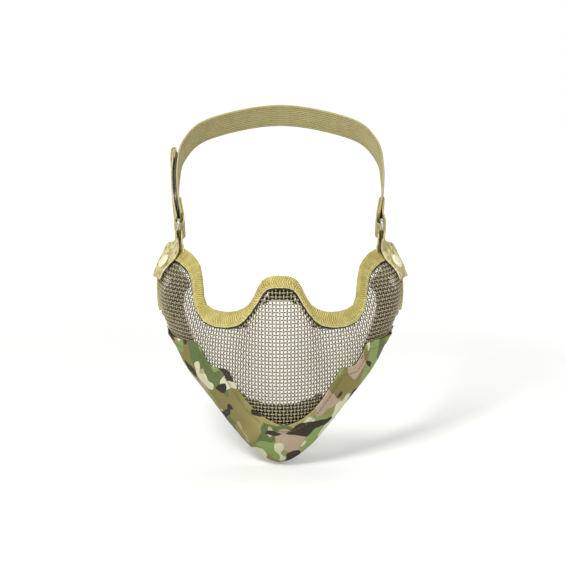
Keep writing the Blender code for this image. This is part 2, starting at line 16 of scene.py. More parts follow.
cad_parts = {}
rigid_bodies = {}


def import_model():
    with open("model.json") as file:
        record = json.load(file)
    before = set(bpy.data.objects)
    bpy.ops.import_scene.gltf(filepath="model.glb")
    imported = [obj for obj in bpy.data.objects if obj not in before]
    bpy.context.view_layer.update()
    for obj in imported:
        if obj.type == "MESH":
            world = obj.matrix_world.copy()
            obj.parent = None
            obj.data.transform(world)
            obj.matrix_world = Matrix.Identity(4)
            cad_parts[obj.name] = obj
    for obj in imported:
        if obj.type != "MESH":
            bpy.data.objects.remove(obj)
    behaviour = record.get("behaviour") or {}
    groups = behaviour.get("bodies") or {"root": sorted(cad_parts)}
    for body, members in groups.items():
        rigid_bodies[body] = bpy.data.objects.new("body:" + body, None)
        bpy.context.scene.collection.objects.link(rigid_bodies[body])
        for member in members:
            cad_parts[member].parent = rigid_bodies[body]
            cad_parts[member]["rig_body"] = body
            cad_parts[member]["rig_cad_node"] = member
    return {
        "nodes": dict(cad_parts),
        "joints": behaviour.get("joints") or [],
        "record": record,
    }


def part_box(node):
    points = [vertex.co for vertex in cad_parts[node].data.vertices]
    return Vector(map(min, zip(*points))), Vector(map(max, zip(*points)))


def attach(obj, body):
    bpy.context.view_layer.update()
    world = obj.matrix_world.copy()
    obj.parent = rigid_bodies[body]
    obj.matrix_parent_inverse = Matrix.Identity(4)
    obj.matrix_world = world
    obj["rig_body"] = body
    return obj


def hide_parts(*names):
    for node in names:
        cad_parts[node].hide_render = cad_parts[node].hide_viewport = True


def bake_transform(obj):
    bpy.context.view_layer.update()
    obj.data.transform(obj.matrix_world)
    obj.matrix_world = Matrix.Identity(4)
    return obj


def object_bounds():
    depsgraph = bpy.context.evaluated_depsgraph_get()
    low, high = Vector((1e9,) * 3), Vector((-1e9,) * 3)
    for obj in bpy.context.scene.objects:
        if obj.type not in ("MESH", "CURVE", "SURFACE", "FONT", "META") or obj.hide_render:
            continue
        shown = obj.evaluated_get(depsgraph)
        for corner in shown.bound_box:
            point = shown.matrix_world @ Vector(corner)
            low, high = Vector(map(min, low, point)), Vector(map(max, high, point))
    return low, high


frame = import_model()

cad_low, cad_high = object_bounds()
NODES = frame["nodes"]
JOINTS = {joint["name"]: joint for joint in frame["joints"]}
MM = 0.001
SIDES = ((-1, "left"), (1, "right"))

# The strap's own directions: X, along its length towards the rear, and across its width.
SWING = np.array(JOINTS["strap_swing"]["pos_m"])
SIDEWAYS = np.array((1.0, 0, 0))
ACROSS = np.array(JOINTS["tail_peel"]["axis"])
ALONG = np.cross(ACROSS, SIDEWAYS)


# --- The face field, read off the CAD shell
AXIS_Y = SWING[1] - 10 * MM       # the upright axis stands a little in front of the rings
ANGLE_END = math.radians(109)
ANGLE_STEPS = 437
HEIGHT_STEP = 1 * MM


def halve(inside, outside, steps, holds):
    """The last value from inside towards outside at which a test still holds."""
    for _ in range(steps):
        middle = (inside + outside) / 2
        if holds(middle):
            inside = middle
        else:
            outside = middle
    return inside


def tree_of(node):
    mesh = NODES[node].data
    mesh.calc_loop_triangles()
    return BVHTree.FromPolygons([v.co for v in mesh.vertices],
                                [t.vertices for t in mesh.loop_triangles])


def smooth_rows(grid, passes):
    """Blurs a grid both ways with a 1-2-1 filter, holding the borders."""
    for _ in range(passes):
        for axis in (0, 1):
            low = np.take(grid, [0], axis=axis)
            high = np.take(grid, [-1], axis=axis)
            wide = np.concatenate([low, grid, high], axis=axis)
            before = np.take(wide, range(0, grid.shape[axis]), axis=axis)
            after = np.take(wide, range(2, grid.shape[axis] + 2), axis=axis)
            grid = (before + 2 * grid + after) / 4
    return grid


class FaceField:
    """The shell's mid-surface as a distance over (angle, height), with its edges."""

    def __init__(self):
        low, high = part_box("mesh_face_shell")
        self.tree = tree_of("mesh_face_shell")
        self.angles = np.linspace(-ANGLE_END, ANGLE_END, ANGLE_STEPS)
        self.heights = np.arange(low.z - 6 * MM, high.z + 6 * MM, HEIGHT_STEP)
        reach = np.full((len(self.angles), len(self.heights)), np.nan)
        for i, angle in enumerate(self.angles):
            for j, height in enumerate(self.heights):
                reach[i, j] = self.cast(angle, height)
        self.top = np.full(len(self.angles), np.nan)
        self.bottom = np.full(len(self.angles), np.nan)
        for i, column in enumerate(reach):
            hits = np.flatnonzero(np.isfinite(column))
            if len(hits) < 8:
                continue
            self.top[i] = self.edge(i, self.heights[hits[-1]], 1)
            self.bottom[i] = self.edge(i, self.heights[hits[0]], -1)
            self.fill(column, hits)
        good = np.flatnonzero(np.isfinite(self.top))
        self.first, self.last = self.angles[good[0]], self.angles[good[-1]]
        for i in range(len(self.angles)):
            if i < good[0] or i > good[-1]:
                near = good[0] if i < good[0] else good[-1]
                reach[i] = reach[near]
                self.top[i], self.bottom[i] = self.top[near], self.bottom[near]
        self.reach = smooth_rows(reach, 10)

    def cast(self, angle, height):
        out = Vector((math.sin(angle), -math.cos(angle), 0))
        start = Vector((0, AXIS_Y, height))
        inner = self.tree.ray_cast(start, out)[0]
        if inner is None:
            return np.nan
        outer = self.tree.ray_cast(start + out * 0.3, -out)[0]
        return ((inner - start).length + (outer - start).length) / 2

    def edge(self, i, height, way):
        """Height where the shell ends in this column, by halving."""
        return halve(height, height + way * HEIGHT_STEP, 7,
                     lambda middle: np.isfinite(self.cast(self.angles[i], middle)))

    @staticmethod
    def fill(column, hits):
        """Closes holes in the column, and carries it on past both edges in a straight line."""
        within = np.arange(hits[0], hits[-1] + 1)
        column[within] = np.interp(within, hits, column[hits])
        first, last, back = hits[0] + 1, hits[-1] - 1, 5
        top_slope = (column[last] - column[last - back]) / back
        low_slope = (column[first] - column[first + back]) / back
        for j in range(last + 1, len(column)):
            column[j] = column[last] + top_slope * min(j - last, 9)
        for j in range(first - 1, -1, -1):
            column[j] = column[first] + low_slope * min(first - j, 9)

    def distance(self, angle, height):
        i = np.interp(angle, self.angles, np.arange(len(self.angles)))
        j = np.interp(height, self.heights, np.arange(len(self.heights)))
        i0 = np.clip(i.astype(int), 0, len(self.angles) - 2)
        j0 = np.clip(j.astype(int), 0, len(self.heights) - 2)
        fi, fj = i - i0, j - j0
        grid = self.reach
        return ((grid[i0, j0] * (1 - fi) + grid[i0 + 1, j0] * fi) * (1 - fj)
                + (grid[i0, j0 + 1] * (1 - fi) + grid[i0 + 1, j0 + 1] * fi) * fj)

    def point(self, angle, height, offset=0.0):
        angle, height = np.broadcast_arrays(np.asarray(angle, float), np.asarray(height, float))
        reach = self.distance(angle, height)
        spot = np.stack([reach * np.sin(angle), AXIS_Y - reach * np.cos(angle), height], -1)
        if np.any(offset):
            spot = spot + self.normal(angle, height) * np.asarray(offset)[..., None]
        return spot

    def slopes(self, angle, height):
        da, dh = math.radians(1.0), 1.2 * MM
        across = (self.point(angle + da, height) - self.point(angle - da, height)) / (2 * da)
        up = (self.point(angle, height + dh) - self.point(angle, height - dh)) / (2 * dh)
        return across, up

    def normal(self, angle, height):
        """Unit normals pointing away from the face."""
        across, up = self.slopes(angle, height)
        normal = np.cross(across, up)
        return normal / np.linalg.norm(normal, axis=-1, keepdims=True)

    def move(self, angle, height, direction, distance, steps=4):
        """(angle, height) after going a distance over the surface in a direction of space."""
        for _ in range(steps):
            across, up = self.slopes(angle, height)
            aa, bb = (across * across).sum(-1), (up * up).sum(-1)
            ab = (across * up).sum(-1)
            da, db = (across * direction).sum(-1), (up * direction).sum(-1)
            scale = aa * bb - ab * ab
            angle = angle + (da * bb - db * ab) / scale * distance / steps
            height = height + (db * aa - da * ab) / scale * distance / steps
        return angle, height

    def top_at(self, angle):
        return np.interp(angle, self.angles, self.top)

    def bottom_at(self, angle):
        return np.interp(angle, self.angles, self.bottom)


face = FaceField()


def rivet_foot(word):
    """(angle, height, foot, axis, reach): where a rivet's axis meets the shell, and its length."""
    mount = next(m for m in frame["record"]["mounts"] if m["name"] == "rivet_face_" + word)
    axis = unit(np.array(mount["axis"]))
    top = np.array(mount["pos_m"])
    reach = 6 * MM
    for _ in range(12):
        foot = top - axis * reach
        angle = math.atan2(foot[0], AXIS_Y - foot[1])
        reach += float((foot - face.point(angle, foot[2])) @ axis)
    return angle, foot[2], foot, axis, reach


# --- Mesh helpers
def make_piece(name, points, faces, paint, body, *nodes, slot=None, uvs=None):
    """A smooth-shaded piece that stands for CAD nodes. With no body it is left to blend."""
    mesh = bpy.data.meshes.new(name)
    mesh.from_pydata(np.asarray(points).tolist(), [], faces)
    if uvs is not None:
        layer = mesh.uv_layers.new(name="cloth")
        corners = np.zeros(len(mesh.loops), np.int32)
        mesh.loops.foreach_get("vertex_index", corners)
        layer.data.foreach_set("uv", np.asarray(uvs, np.float32)[corners].ravel())
    mesh.shade_smooth()
    mesh.materials.append(paint)
    piece = bpy.data.objects.new(name, mesh)
    bpy.context.scene.collection.objects.link(piece)
    fix_normals(piece)
    if body:
        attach(piece, body)
    if nodes:
        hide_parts(*nodes)
    return piece


def fix_normals(piece):
    shape = bmesh.new()
    shape.from_mesh(piece.data)
    bmesh.ops.recalc_face_normals(shape, faces=shape.faces)
    shape.to_mesh(piece.data)
    shape.free()


def grid_faces(rows, columns, closed_rows=False, closed_columns=False, start=0):
    """Quads over a grid of points that is stored row by row."""
    faces = []
    for i in range(rows if closed_rows else rows - 1):
        for j in range(columns if closed_columns else columns - 1):
            a, b = i * columns + j, i * columns + (j + 1) % columns
            c = (i + 1) % rows * columns + (j + 1) % columns
            d = (i + 1) % rows * columns + j
            faces.append((start + a, start + b, start + c, start + d))
    return faces


def end_caps(rows, columns, start=0):
    """The two end faces of a tube whose points are stored ring by ring."""
    end = start + (rows - 1) * columns
    return [tuple(range(start + columns - 1, start - 1, -1)), tuple(range(end, end + columns))]


def tube_mesh(path, side, radius, sides, start=0, closed=False):
    """(points, faces) of a round tube along a path, side being one direction across it."""
    ahead = np.roll(path, -1, axis=0) - np.roll(path, 1, axis=0)
    if not closed:
        ahead[0], ahead[-1] = path[1] - path[0], path[-1] - path[-2]
    ahead /= np.linalg.norm(ahead, axis=1)[:, None]
    side = side - ahead * (side * ahead).sum(1)[:, None]
    side /= np.linalg.norm(side, axis=1)[:, None]
    other = np.cross(ahead, side)
    turn = np.linspace(0, 2 * math.pi, sides, endpoint=False)
    radius = np.broadcast_to(radius, len(path))
    rings = (path[:, None] + radius[:, None, None] * (
        side[:, None] * np.cos(turn)[None, :, None] + other[:, None] * np.sin(turn)[None, :, None]))
    faces = grid_faces(len(path), sides, closed, True, start)
    if not closed:
        faces += end_caps(len(path), sides, start)
    return rings.reshape(-1, 3), faces


def crown_highlight_uvs(crown_highlight_shares, sides):
    """How far out of the weave each point of the tubes lies, as a texture coordinate: it places the
    painted highlight on the wire crowns.
    """
    share = np.repeat(np.concatenate([crown_highlight for crown_highlight in crown_highlight_shares if len(crown_highlight) > 1]), sides)
    return np.stack([share, 0 * share], 1)


def join_tubes(tubes, radius, sides):
    """One mesh from many (path, side) tubes."""
    points, faces, start = [], [], 0
    for path, side in tubes:
        if len(path) < 2:
            continue
        more, quads = tube_mesh(path, side, radius, sides, start)
        points.append(more)
        faces += quads
        start += len(more)
    return np.concatenate(points), faces


def noise_at(points, size, seed=0.0):
    """Smooth noise from -1 to 1 at each point, with features of the given size."""
    spots = np.asarray(points).reshape(-1, 3) / size + (seed, 1.7 * seed, -seed)
    values = np.array([noise.noise(Vector(spot)) for spot in spots])
    return values.reshape(np.shape(points)[:-1])


def smooth_step(value, low, high):
    share = np.clip((np.asarray(value, float) - low) / (high - low), 0, 1)
    return share * share * (3 - 2 * share)


def along_line(points):
    """Distance from the start at each point of a line."""
    steps = np.linalg.norm(np.diff(points, axis=0), axis=1)
    return np.concatenate([[0], np.cumsum(steps)])


def resample(line, spacing):
    """The line again with even spacing, through linear interpolation of every column."""
    line = np.asarray(line, float)
    reach = along_line(line[:, :3])
    count = max(2, int(round(reach[-1] / spacing)) + 1)
    stops = np.linspace(0, reach[-1], count)
    return np.stack([np.interp(stops, reach, column) for column in line.T], axis=1)


def unit(vectors):
    return vectors / np.linalg.norm(vectors, axis=-1, keepdims=True)


# --- Materials
class Paint:
    """A Principled material and short ways to add nodes to it."""

    def __init__(self, name, roughness=0.8, metallic=0.0):
        self.material = bpy.data.materials.new(name)
        self.material.use_nodes = True
        self.tree = self.material.node_tree
        self.shader = self.tree.nodes["Principled BSDF"]
        self.set(Roughness=roughness, Metallic=metallic)
        self.place = self.add("TexCoord").outputs["Object"]

    def add(self, kind, settings=None, **inputs):
        made = self.tree.nodes.new("ShaderNode" + kind)
        for key, value in (settings or {}).items():
            setattr(made, key, value)
        for key, value in inputs.items():
            self.plug(made.inputs[key.replace("_", " ")], value)
        return made

    def plug(self, socket, value):
        if isinstance(value, bpy.types.NodeSocket):
            self.tree.links.new(value, socket)
        else:
            socket.default_value = value

    def set(self, **inputs):
        for key, value in inputs.items():
            self.plug(self.shader.inputs[key.replace("_", " ")], value)

    def math(self, operation, first, second=0.0, third=0.0, clamp=False):
        made = self.tree.nodes.new("ShaderNodeMath")
        made.operation = operation
        made.use_clamp = clamp
        for socket, value in zip(made.inputs, (first, second, third)):
            self.plug(socket, value)
        return made.outputs[0]

    def less(self, value):
        """What is left of 1 after the value."""
        return self.math("SUBTRACT", 1.0, value)

    def mix(self, share, first, second, blend="MIX"):
        made = self.tree.nodes.new("ShaderNodeMix")
        made.data_type = "RGBA"
        made.blend_type = blend
        for socket, value in zip((made.inputs[0], made.inputs[6], made.inputs[7]),
                                 (share, first, second)):
            self.plug(socket, value)
        return made.outputs[2]

    def scaled(self, scale, vector=None, move=(0, 0, 0)):
        return self.add("Mapping", Vector=vector or self.place, Location=move,
                        Scale=scale).outputs[0]

    def noise(self, size, detail=3.0, vector=None, scale=(1, 1, 1), move=(0, 0, 0), rough=0.55):
        """Noise from 0 to 1 with features of this size, over the object or over a vector."""
        made = self.add("TexNoise", Vector=self.scaled(scale, vector, move), Scale=1 / size,
                        Detail=detail, Roughness=rough)
        return made.outputs[0]

    def step(self, value, low, high):
        """0 below low, 1 above high."""
        made = self.add("MapRange", {"interpolation_type": "SMOOTHSTEP"}, Value=value,
                        From_Min=low, From_Max=high)
        return made.outputs[0]

    def cloth_uv(self):
        """(along, across) of a strip or sheet in millimetres."""
        made = self.add("SeparateXYZ", Vector=self.add("UVMap", {"uv_map": "cloth"}).outputs[0])
        return made.outputs[0], made.outputs[1]

    def wave(self, value, period):
        """A sine from 0 to 1 with this period."""
        turned = self.math("SINE", self.math("MULTIPLY", value, 2 * math.pi / period))
        return self.math("MULTIPLY_ADD", turned, 0.5, 0.5)

    def bump(self, height, distance, normal=None):
        made = self.add("Bump", Height=height, Distance=distance, Strength=1.0)
        if normal is not None:
            self.plug(made.inputs["Normal"], normal)
        return made.outputs[0]


def once(make):
    """Makes a material on its first use and hands out the same one after that."""
    kept = {}

    def given(*args):
        if args not in kept:
            kept[args] = make(*args)
        return kept[args]
    return given


def rgb(red, green, blue):
    """A linear colour from its 0 to 255 screen values."""
    return tuple((value / 255) ** 2.2 for value in (red, green, blue)) + (1,)


def plain_weave(paint, pitch):
    """(height, shade) of an over-and-under weave laid on the cloth's own directions."""
    along, across = paint.cloth_uv()
    warp, weft = paint.wave(along, pitch * 2), paint.wave(across, pitch * 2)
    crossing = paint.math("ABSOLUTE", paint.math("SUBTRACT", warp, weft))
    threads = paint.math("MAXIMUM", paint.wave(along, pitch), paint.wave(across, pitch))
    return paint.math("MULTIPLY", crossing, threads), threads


def twill(paint, pitch, turn, slope=1.0):
    """Diagonal ribs that change direction in bands, as in herringbone webbing."""
    along, across = paint.cloth_uv()
    folded = paint.math("PINGPONG", across, turn)
    return paint.wave(paint.math("MULTIPLY_ADD", folded, slope, along), pitch)


@once
def wire_paint():
    paint = Paint("wire_powder_coat", 0.42, 0.15)
    # The crowns of the wires, where they stand out of the weave, are painted lighter cream: a
    # painted highlight.
    crown_highlight = paint.step(paint.cloth_uv()[0], 0.1, 1.0)
    patch = paint.noise(9 * MM)
    fine = paint.noise(0.6 * MM, 2)
    colour = paint.mix(patch, rgb(88, 79, 55), rgb(114, 104, 76))
    colour = paint.mix(paint.math("MULTIPLY", crown_highlight, 0.7), colour, rgb(190, 180, 144))
    colour = paint.mix(paint.step(fine, 0.60, 0.74), colour, rgb(206, 198, 168))
    colour = paint.mix(paint.step(paint.noise(3 * MM, 4, move=(1, 0, 0)), 0.64, 0.70), colour,
                       rgb(78, 68, 48))
    paint.set(Base_Color=colour, Specular_IOR_Level=0.6,
              Roughness=paint.math("MULTIPLY_ADD", patch, 0.25, 0.30),
              Normal=paint.bump(fine, 0.06 * MM))
    return paint.material


@once
def tape_paint():
    paint = Paint("khaki_twill_tape", 0.92)
    ribs = twill(paint, 1.45, 5.2, 0.35)
    across = paint.cloth_uv()[1]
    patch = paint.noise(6 * MM, 4)
    fine = paint.noise(0.5 * MM, 2)
    colour = paint.mix(paint.step(patch, 0.3, 0.7), rgb(184, 170, 96), rgb(211, 197, 124))
    # The grooves between the twill ribs are painted dark, stronger in broad patches: painted shade.
    groove_shade = paint.less(paint.step(ribs, 0.15, 0.6))
    groove_shade_patches = paint.math("MULTIPLY_ADD", paint.noise(18 * MM, 2), 1.1, 0.12)
    colour = paint.mix(paint.math("MULTIPLY", groove_shade, groove_shade_patches, clamp=True), colour, rgb(96, 82, 36))
    colour = paint.mix(paint.math("MULTIPLY", paint.step(fine, 0.52, 0.72), 0.7), colour,
                       rgb(214, 198, 128))
    # The tape's free edge on its outer face is painted lighter: a painted highlight along the edge.
    rim = paint.math("MULTIPLY", paint.step(across, 1.1, 0.4), 0.8)
    colour = paint.mix(rim, colour, rgb(226, 214, 152))
    paint.set(Base_Color=colour, Specular_IOR_Level=0.2,
              Normal=paint.bump(fine, 0.10 * MM, normal=paint.bump(ribs, 0.40 * MM)))
    return paint.material


@once
def thread_paint(name, colour):
    paint = Paint(name, 0.7)
    twist = paint.noise(0.35 * MM, 1)
    paint.set(Base_Color=paint.mix(twist, tuple(0.75 * c for c in colour[:3]) + (1,), colour),
              Normal=paint.bump(twist, 0.05 * MM))
    return paint.material


# A dark material for the bead along the tape's edge: painted shadow under the tape.
@once
def tape_shadow_line_paint():
    paint = Paint("black_glue_line", 0.6)
    grain = paint.noise(1.4 * MM, 3)
    paint.set(Base_Color=paint.mix(grain, rgb(24, 21, 16), rgb(52, 46, 34)),
              Normal=paint.bump(grain, 0.2 * MM))
    return paint.material


@once
def camo_paint():
    """Crisp printed blobs of six earth colours over a fine rip-proof weave."""
    paint = Paint("printed_camo_cloth", 0.92)
    warp = paint.add("TexNoise", Vector=paint.place, Scale=1 / (11 * MM), Detail=1.0)
    bent = paint.add("VectorMath", {"operation": "MULTIPLY_ADD"})
    paint.plug(bent.inputs[0], warp.outputs["Color"])
    bent.inputs[1].default_value = (7 * MM, 7 * MM, 7 * MM)
    paint.plug(bent.inputs[2], paint.place)
    place = bent.outputs[0]
    ground = paint.noise(50 * MM, 1, place)
    colour = paint.mix(paint.step(ground, 0.42, 0.58), rgb(132, 122, 72), rgb(166, 157, 98))
    layers = (
        (34, (1.0, 1.0, 0.8), (0.31, 0, 0.1), 0.53, rgb(92, 110, 64)),
        (26, (1.3, 1.0, 0.8), (0, 0.7, 0.4), 0.575, rgb(134, 156, 92)),
        (22, (1.2, 1.0, 0.7), (0.2, 0.9, 0.3), 0.605, rgb(184, 162, 140)),
        (17, (1.3, 1.0, 0.8), (0.5, 0.3, 0.6), 0.63, rgb(216, 216, 182)),
        (21, (1.0, 1.0, 1.5), (0.9, 0.1, 0.8), 0.605, rgb(38, 29, 31)),
    )
    for size, scale, move, level, tint in layers:
        blob = paint.noise(size * MM, 0.6, place, scale, move, 0.5)
        colour = paint.mix(paint.step(blob, level - 0.004, level + 0.004), colour, tint)
    height, threads = plain_weave(paint, 0.42)
    faded = paint.noise(20 * MM, 3, move=(0.4, 0.4, 0.2))
    colour = paint.mix(paint.math("MULTIPLY", faded, 0.12), colour, rgb(200, 194, 150))
    # The weave's shade pattern is multiplied in darker: painted shade of the weave.
    colour = paint.mix(paint.math("MULTIPLY", threads, 0.22), colour, rgb(70, 64, 44), "MULTIPLY")
    paint.set(Base_Color=colour, Specular_IOR_Level=0.25, Normal=paint.bump(height, 0.10 * MM))
    return paint.material


@once
def foam_paint():
    paint = Paint("black_foam_cloth", 0.9)
    grain = paint.noise(0.8 * MM, 3)
    knit = paint.add("TexVoronoi", Vector=paint.place, Scale=1 / (1.1 * MM)).outputs["Distance"]
    colour = paint.mix(paint.noise(12 * MM), rgb(22, 22, 24), rgb(40, 39, 40))
    colour = paint.mix(paint.step(grain, 0.62, 0.8), colour, rgb(70, 68, 66))
    paint.set(Base_Color=colour, Sheen_Weight=0.3, Sheen_Roughness=0.6,
              Normal=paint.bump(grain, 0.12 * MM, normal=paint.bump(knit, 0.15 * MM)))
    return paint.material


@once
def tab_paint():
    paint = Paint("mottled_tab_webbing", 0.88)
    height, threads = plain_weave(paint, 0.75)
    patch = paint.noise(3.2 * MM, 4)
    across = paint.cloth_uv()[1]
    colour = paint.mix(paint.step(patch, 0.40, 0.60), rgb(170, 158, 98), rgb(212, 203, 148))
    spot = paint.step(paint.noise(2.2 * MM, 3, move=(0.3, 0, 0)), 0.60, 0.66)
    colour = paint.mix(spot, colour, rgb(120, 108, 62))
    # The gaps between the threads are painted darker: painted shade.
    colour = paint.mix(paint.math("MULTIPLY", paint.less(threads), 0.5), colour,
                       rgb(96, 86, 50))
    edge = paint.step(paint.math("ABSOLUTE", across), 7.4, 7.8)
    colour = paint.mix(paint.math("MULTIPLY", edge, 0.35), colour, rgb(232, 224, 176))
    paint.set(Base_Color=colour, Sheen_Weight=0.2,
              Normal=paint.bump(height, 0.22 * MM))
    return paint.material


@once
def webbing_paint(name):
    paint = Paint(name, 0.9)
    height, threads = plain_weave(paint, 0.8)
    ribs = twill(paint, 1.4, 4.0)
    patch = paint.noise(7 * MM, 4)
    colour = paint.mix(patch, rgb(172, 160, 100), rgb(202, 190, 130))
    # The gaps between the threads are painted darker: painted shade.
    colour = paint.mix(paint.math("MULTIPLY", paint.less(threads), 0.6), colour,
                       rgb(86, 77, 42))
    colour = paint.mix(paint.step(paint.noise(0.5 * MM, 2), 0.6, 0.75), colour, rgb(220, 210, 158))
    tall = paint.math("MULTIPLY_ADD", ribs, 0.5, height)
    paint.set(Base_Color=colour, Sheen_Weight=0.2, Normal=paint.bump(tall, 0.22 * MM))
    return paint.material


@once
def elastic_paint():
    paint = Paint("ribbed_elastic_cloth", 0.9)
    along, across = paint.cloth_uv()
    ribs = paint.wave(across, 20 / 11)
    knit = paint.wave(paint.math("ADD", along, paint.math("MULTIPLY", ribs, 0.25)), 0.9)
    patch = paint.noise(8 * MM, 3)
    colour = paint.mix(patch, rgb(174, 162, 102), rgb(204, 192, 134))
    # The gaps of the knit and the grooves between the ribs are painted darker: painted shade.
    colour = paint.mix(paint.math("MULTIPLY", paint.less(knit), 0.5), colour,
                       rgb(84, 76, 50))
    colour = paint.mix(paint.step(ribs, 0.10, 0.0), colour, rgb(70, 64, 44))
    paint.set(Base_Color=colour, Sheen_Weight=0.15,
              Normal=paint.bump(knit, 0.16 * MM, normal=paint.bump(
                  paint.noise(0.45 * MM, 2), 0.06 * MM)))
    return paint.material


@once
def pile_paint(name, bumps):
    paint = Paint(name, 0.95)
    fuzz = paint.noise(0.45 * MM, 4, rough=0.7)
    cells = paint.add("TexVoronoi", Vector=paint.place, Scale=1 / (1.0 * MM)).outputs["Distance"]
    colour = paint.mix(paint.step(fuzz, 0.35, 0.7), rgb(20, 19, 18), rgb(58, 54, 46))
    colour = paint.mix(paint.math("MULTIPLY", cells, 0.5), colour, rgb(90, 84, 66))
    paint.set(Base_Color=colour, Sheen_Weight=0.4 if bumps > 0.2 else 0.1, Sheen_Roughness=0.6,
              Normal=paint.bump(paint.math("ADD", fuzz, cells), 0.35 * MM))
    return paint.material


@once
def steel_paint():
    paint = Paint("plated_ring_steel", 0.28, 1.0)
    dull = paint.noise(4 * MM, 4)
    scratch = paint.noise(1.2 * MM, 3, scale=(1, 6, 1))
    colour = paint.mix(dull, rgb(170, 168, 160), rgb(214, 212, 204))
    colour = paint.mix(paint.step(scratch, 0.66, 0.74), colour, rgb(110, 104, 92))
    paint.set(Base_Color=colour, Roughness=paint.math("MULTIPLY_ADD", dull, 0.35, 0.12),
              Normal=paint.bump(scratch, 0.02 * MM))
    return paint.material


@once
def rivet_paint():
    paint = Paint("cream_rivet_enamel", 0.38)
    patch = paint.noise(2.5 * MM, 4)
    chip = paint.step(paint.noise(1.6 * MM, 5, move=(0.6, 0.2, 0)), 0.66, 0.69)
    colour = paint.mix(patch, rgb(214, 206, 170), rgb(236, 230, 198))
    colour = paint.mix(chip, colour, rgb(124, 116, 96))
    paint.set(Base_Color=colour, Metallic=paint.math("MULTIPLY", chip, 0.8), Coat_Weight=0.2,
              Roughness=paint.math("MULTIPLY_ADD", patch, 0.25, 0.28),
              Normal=paint.bump(patch, 0.05 * MM))
    return paint.material


# --- Woven wire face
PITCH = 2.4 * MM
WIRE_RADIUS = 0.455 * MM
WIRE_SIDES = 6
STEPS_PER_PITCH = 4


def row_lengths():
    """Length along the surface from the middle, over the same grid as the face field."""
    spots = face.point(face.angles[:, None], face.heights[None, :])
    steps = np.linalg.norm(np.diff(spots, axis=0), axis=2)
    reach = np.concatenate([np.zeros((1, len(face.heights))), np.cumsum(steps, axis=0)])
    middle = np.array([np.interp(0, face.angles, column) for column in reach.T])
    return reach - middle


def inside_shell(angle, height):
    return ((height < face.top_at(angle)) & (height > face.bottom_at(angle))
            & (angle > face.first) & (angle < face.last))


def runs(mask):
    """(start, end) index pairs of the unbroken stretches where mask holds."""
    edges = np.flatnonzero(np.diff(np.concatenate([[0], mask.astype(int), [0]])))
    return list(zip(edges[::2], edges[1::2]))


def add_wire(wires, angle, height, wave):
    """Adds the stretches of one wire that lie on the shell, each as (path, side, crown)."""
    with np.errstate(invalid="ignore"):
        held = inside_shell(angle, height)
    for start, end in runs(held):
        part = slice(start, end)
        wires.append((face.point(angle[part], height[part], wave[part]),
                      face.normal(angle[part], height[part]), wave[part] / WIRE_RADIUS))


def make_wires(name, wires, *nodes):
    points, faces = join_tubes([wire[:2] for wire in wires], WIRE_RADIUS, WIRE_SIDES)
    make_piece(name, points, faces, wire_paint(), "mask", *nodes, slot="wire_mesh",
               uvs=crown_highlight_uvs([wire[2] for wire in wires], WIRE_SIDES))


def build_wires():
    """Wires across and wires down, each passing over and under the others in turn."""
    lengths = row_lengths()
    low, high = face.heights[0], face.heights[-1]
    reach = np.abs(lengths).max()
    marks = np.arange(-int(reach / PITCH), int(reach / PITCH) + 1)
    levels = np.arange(math.ceil(low / PITCH), int(high / PITCH) + 1)
    fine = np.arange(marks[0], marks[-1] + 1e-6, 1 / STEPS_PER_PITCH)
    wires = []
    for level in levels:
        height = level * PITCH
        j = int(np.clip((height - low) / HEIGHT_STEP, 0, len(face.heights) - 1))
        angle = np.interp(fine * PITCH, lengths[:, j], face.angles)
        angle[np.abs(fine * PITCH) > np.abs(lengths[:, j]).max()] = np.nan
        add_wire(wires, angle, np.full(len(fine), height),
                 WIRE_RADIUS * np.cos(math.pi * (fine + level)))
    make_wires("face_wires_across", wires, "mesh_face_shell")
    fine = np.arange(levels[0], levels[-1] + 1e-6, 1 / STEPS_PER_PITCH)
    height = fine * PITCH
    places = np.clip((height - low) / HEIGHT_STEP, 0, len(face.heights) - 1).astype(int)
    wires = []
    for mark in marks:
        angle = np.array([np.interp(mark * PITCH, lengths[:, j], face.angles) for j in places])
        add_wire(wires, angle, height, -WIRE_RADIUS * np.cos(math.pi * (fine + mark)))
    make_wires("face_wires_down", wires)


# --- Thick strips: webbing, elastic, tape
def strip_section(half_width, thickness, ribs=0, rib_height=0.0, across_steps=24):
    """(across, through) pairs round a strip's section, with rounded edges and long ribs."""
    half = thickness / 2
    flat = half_width - half
    across = np.linspace(-flat, flat, across_steps + 1)
    rise = half + rib_height * (0.5 - 0.5 * np.cos(2 * math.pi * ribs * (across / flat + 1) / 2))
    top = np.stack([across, rise], 1)
    turn = np.linspace(math.pi / 2, -math.pi / 2, 7)[1:-1]
    right = np.stack([flat + half * np.cos(turn), half * np.sin(turn)], 1)
    bottom = np.stack([across[::-1], -rise[::-1]], 1)
    left = np.stack([-flat - half * np.cos(turn), -half * np.sin(turn)], 1)
    return np.concatenate([top, right, bottom, left])


def sweep(frames, section, widths=None, wave=None):
    """(points, faces, uvs) of a section carried along frames of centre, through, across.

    widths scales the section's width at each frame. wave(along, across) lifts its surface.
    """
    centres, throughs, acrosses = (np.asarray(part, float) for part in zip(*frames))
    along = along_line(centres)
    wide = np.ones(len(centres)) if widths is None else np.asarray(widths)
    across = section[None, :, 0] * wide[:, None]
    lift = np.broadcast_to(section[None, :, 1], across.shape).copy()
    if wave is not None:
        lift = lift + np.sign(section[None, :, 1]) * wave(along[:, None], across)
    points = (centres[:, None] + acrosses[:, None] * across[..., None]
              + throughs[:, None] * lift[..., None])
    rows, columns = across.shape
    faces = grid_faces(rows, columns, closed_columns=True)
    faces += end_caps(rows, columns)
    uvs = np.stack([np.broadcast_to(along[:, None], across.shape), across], -1) / MM
    return points.reshape(-1, 3), faces, uvs.reshape(-1, 2)


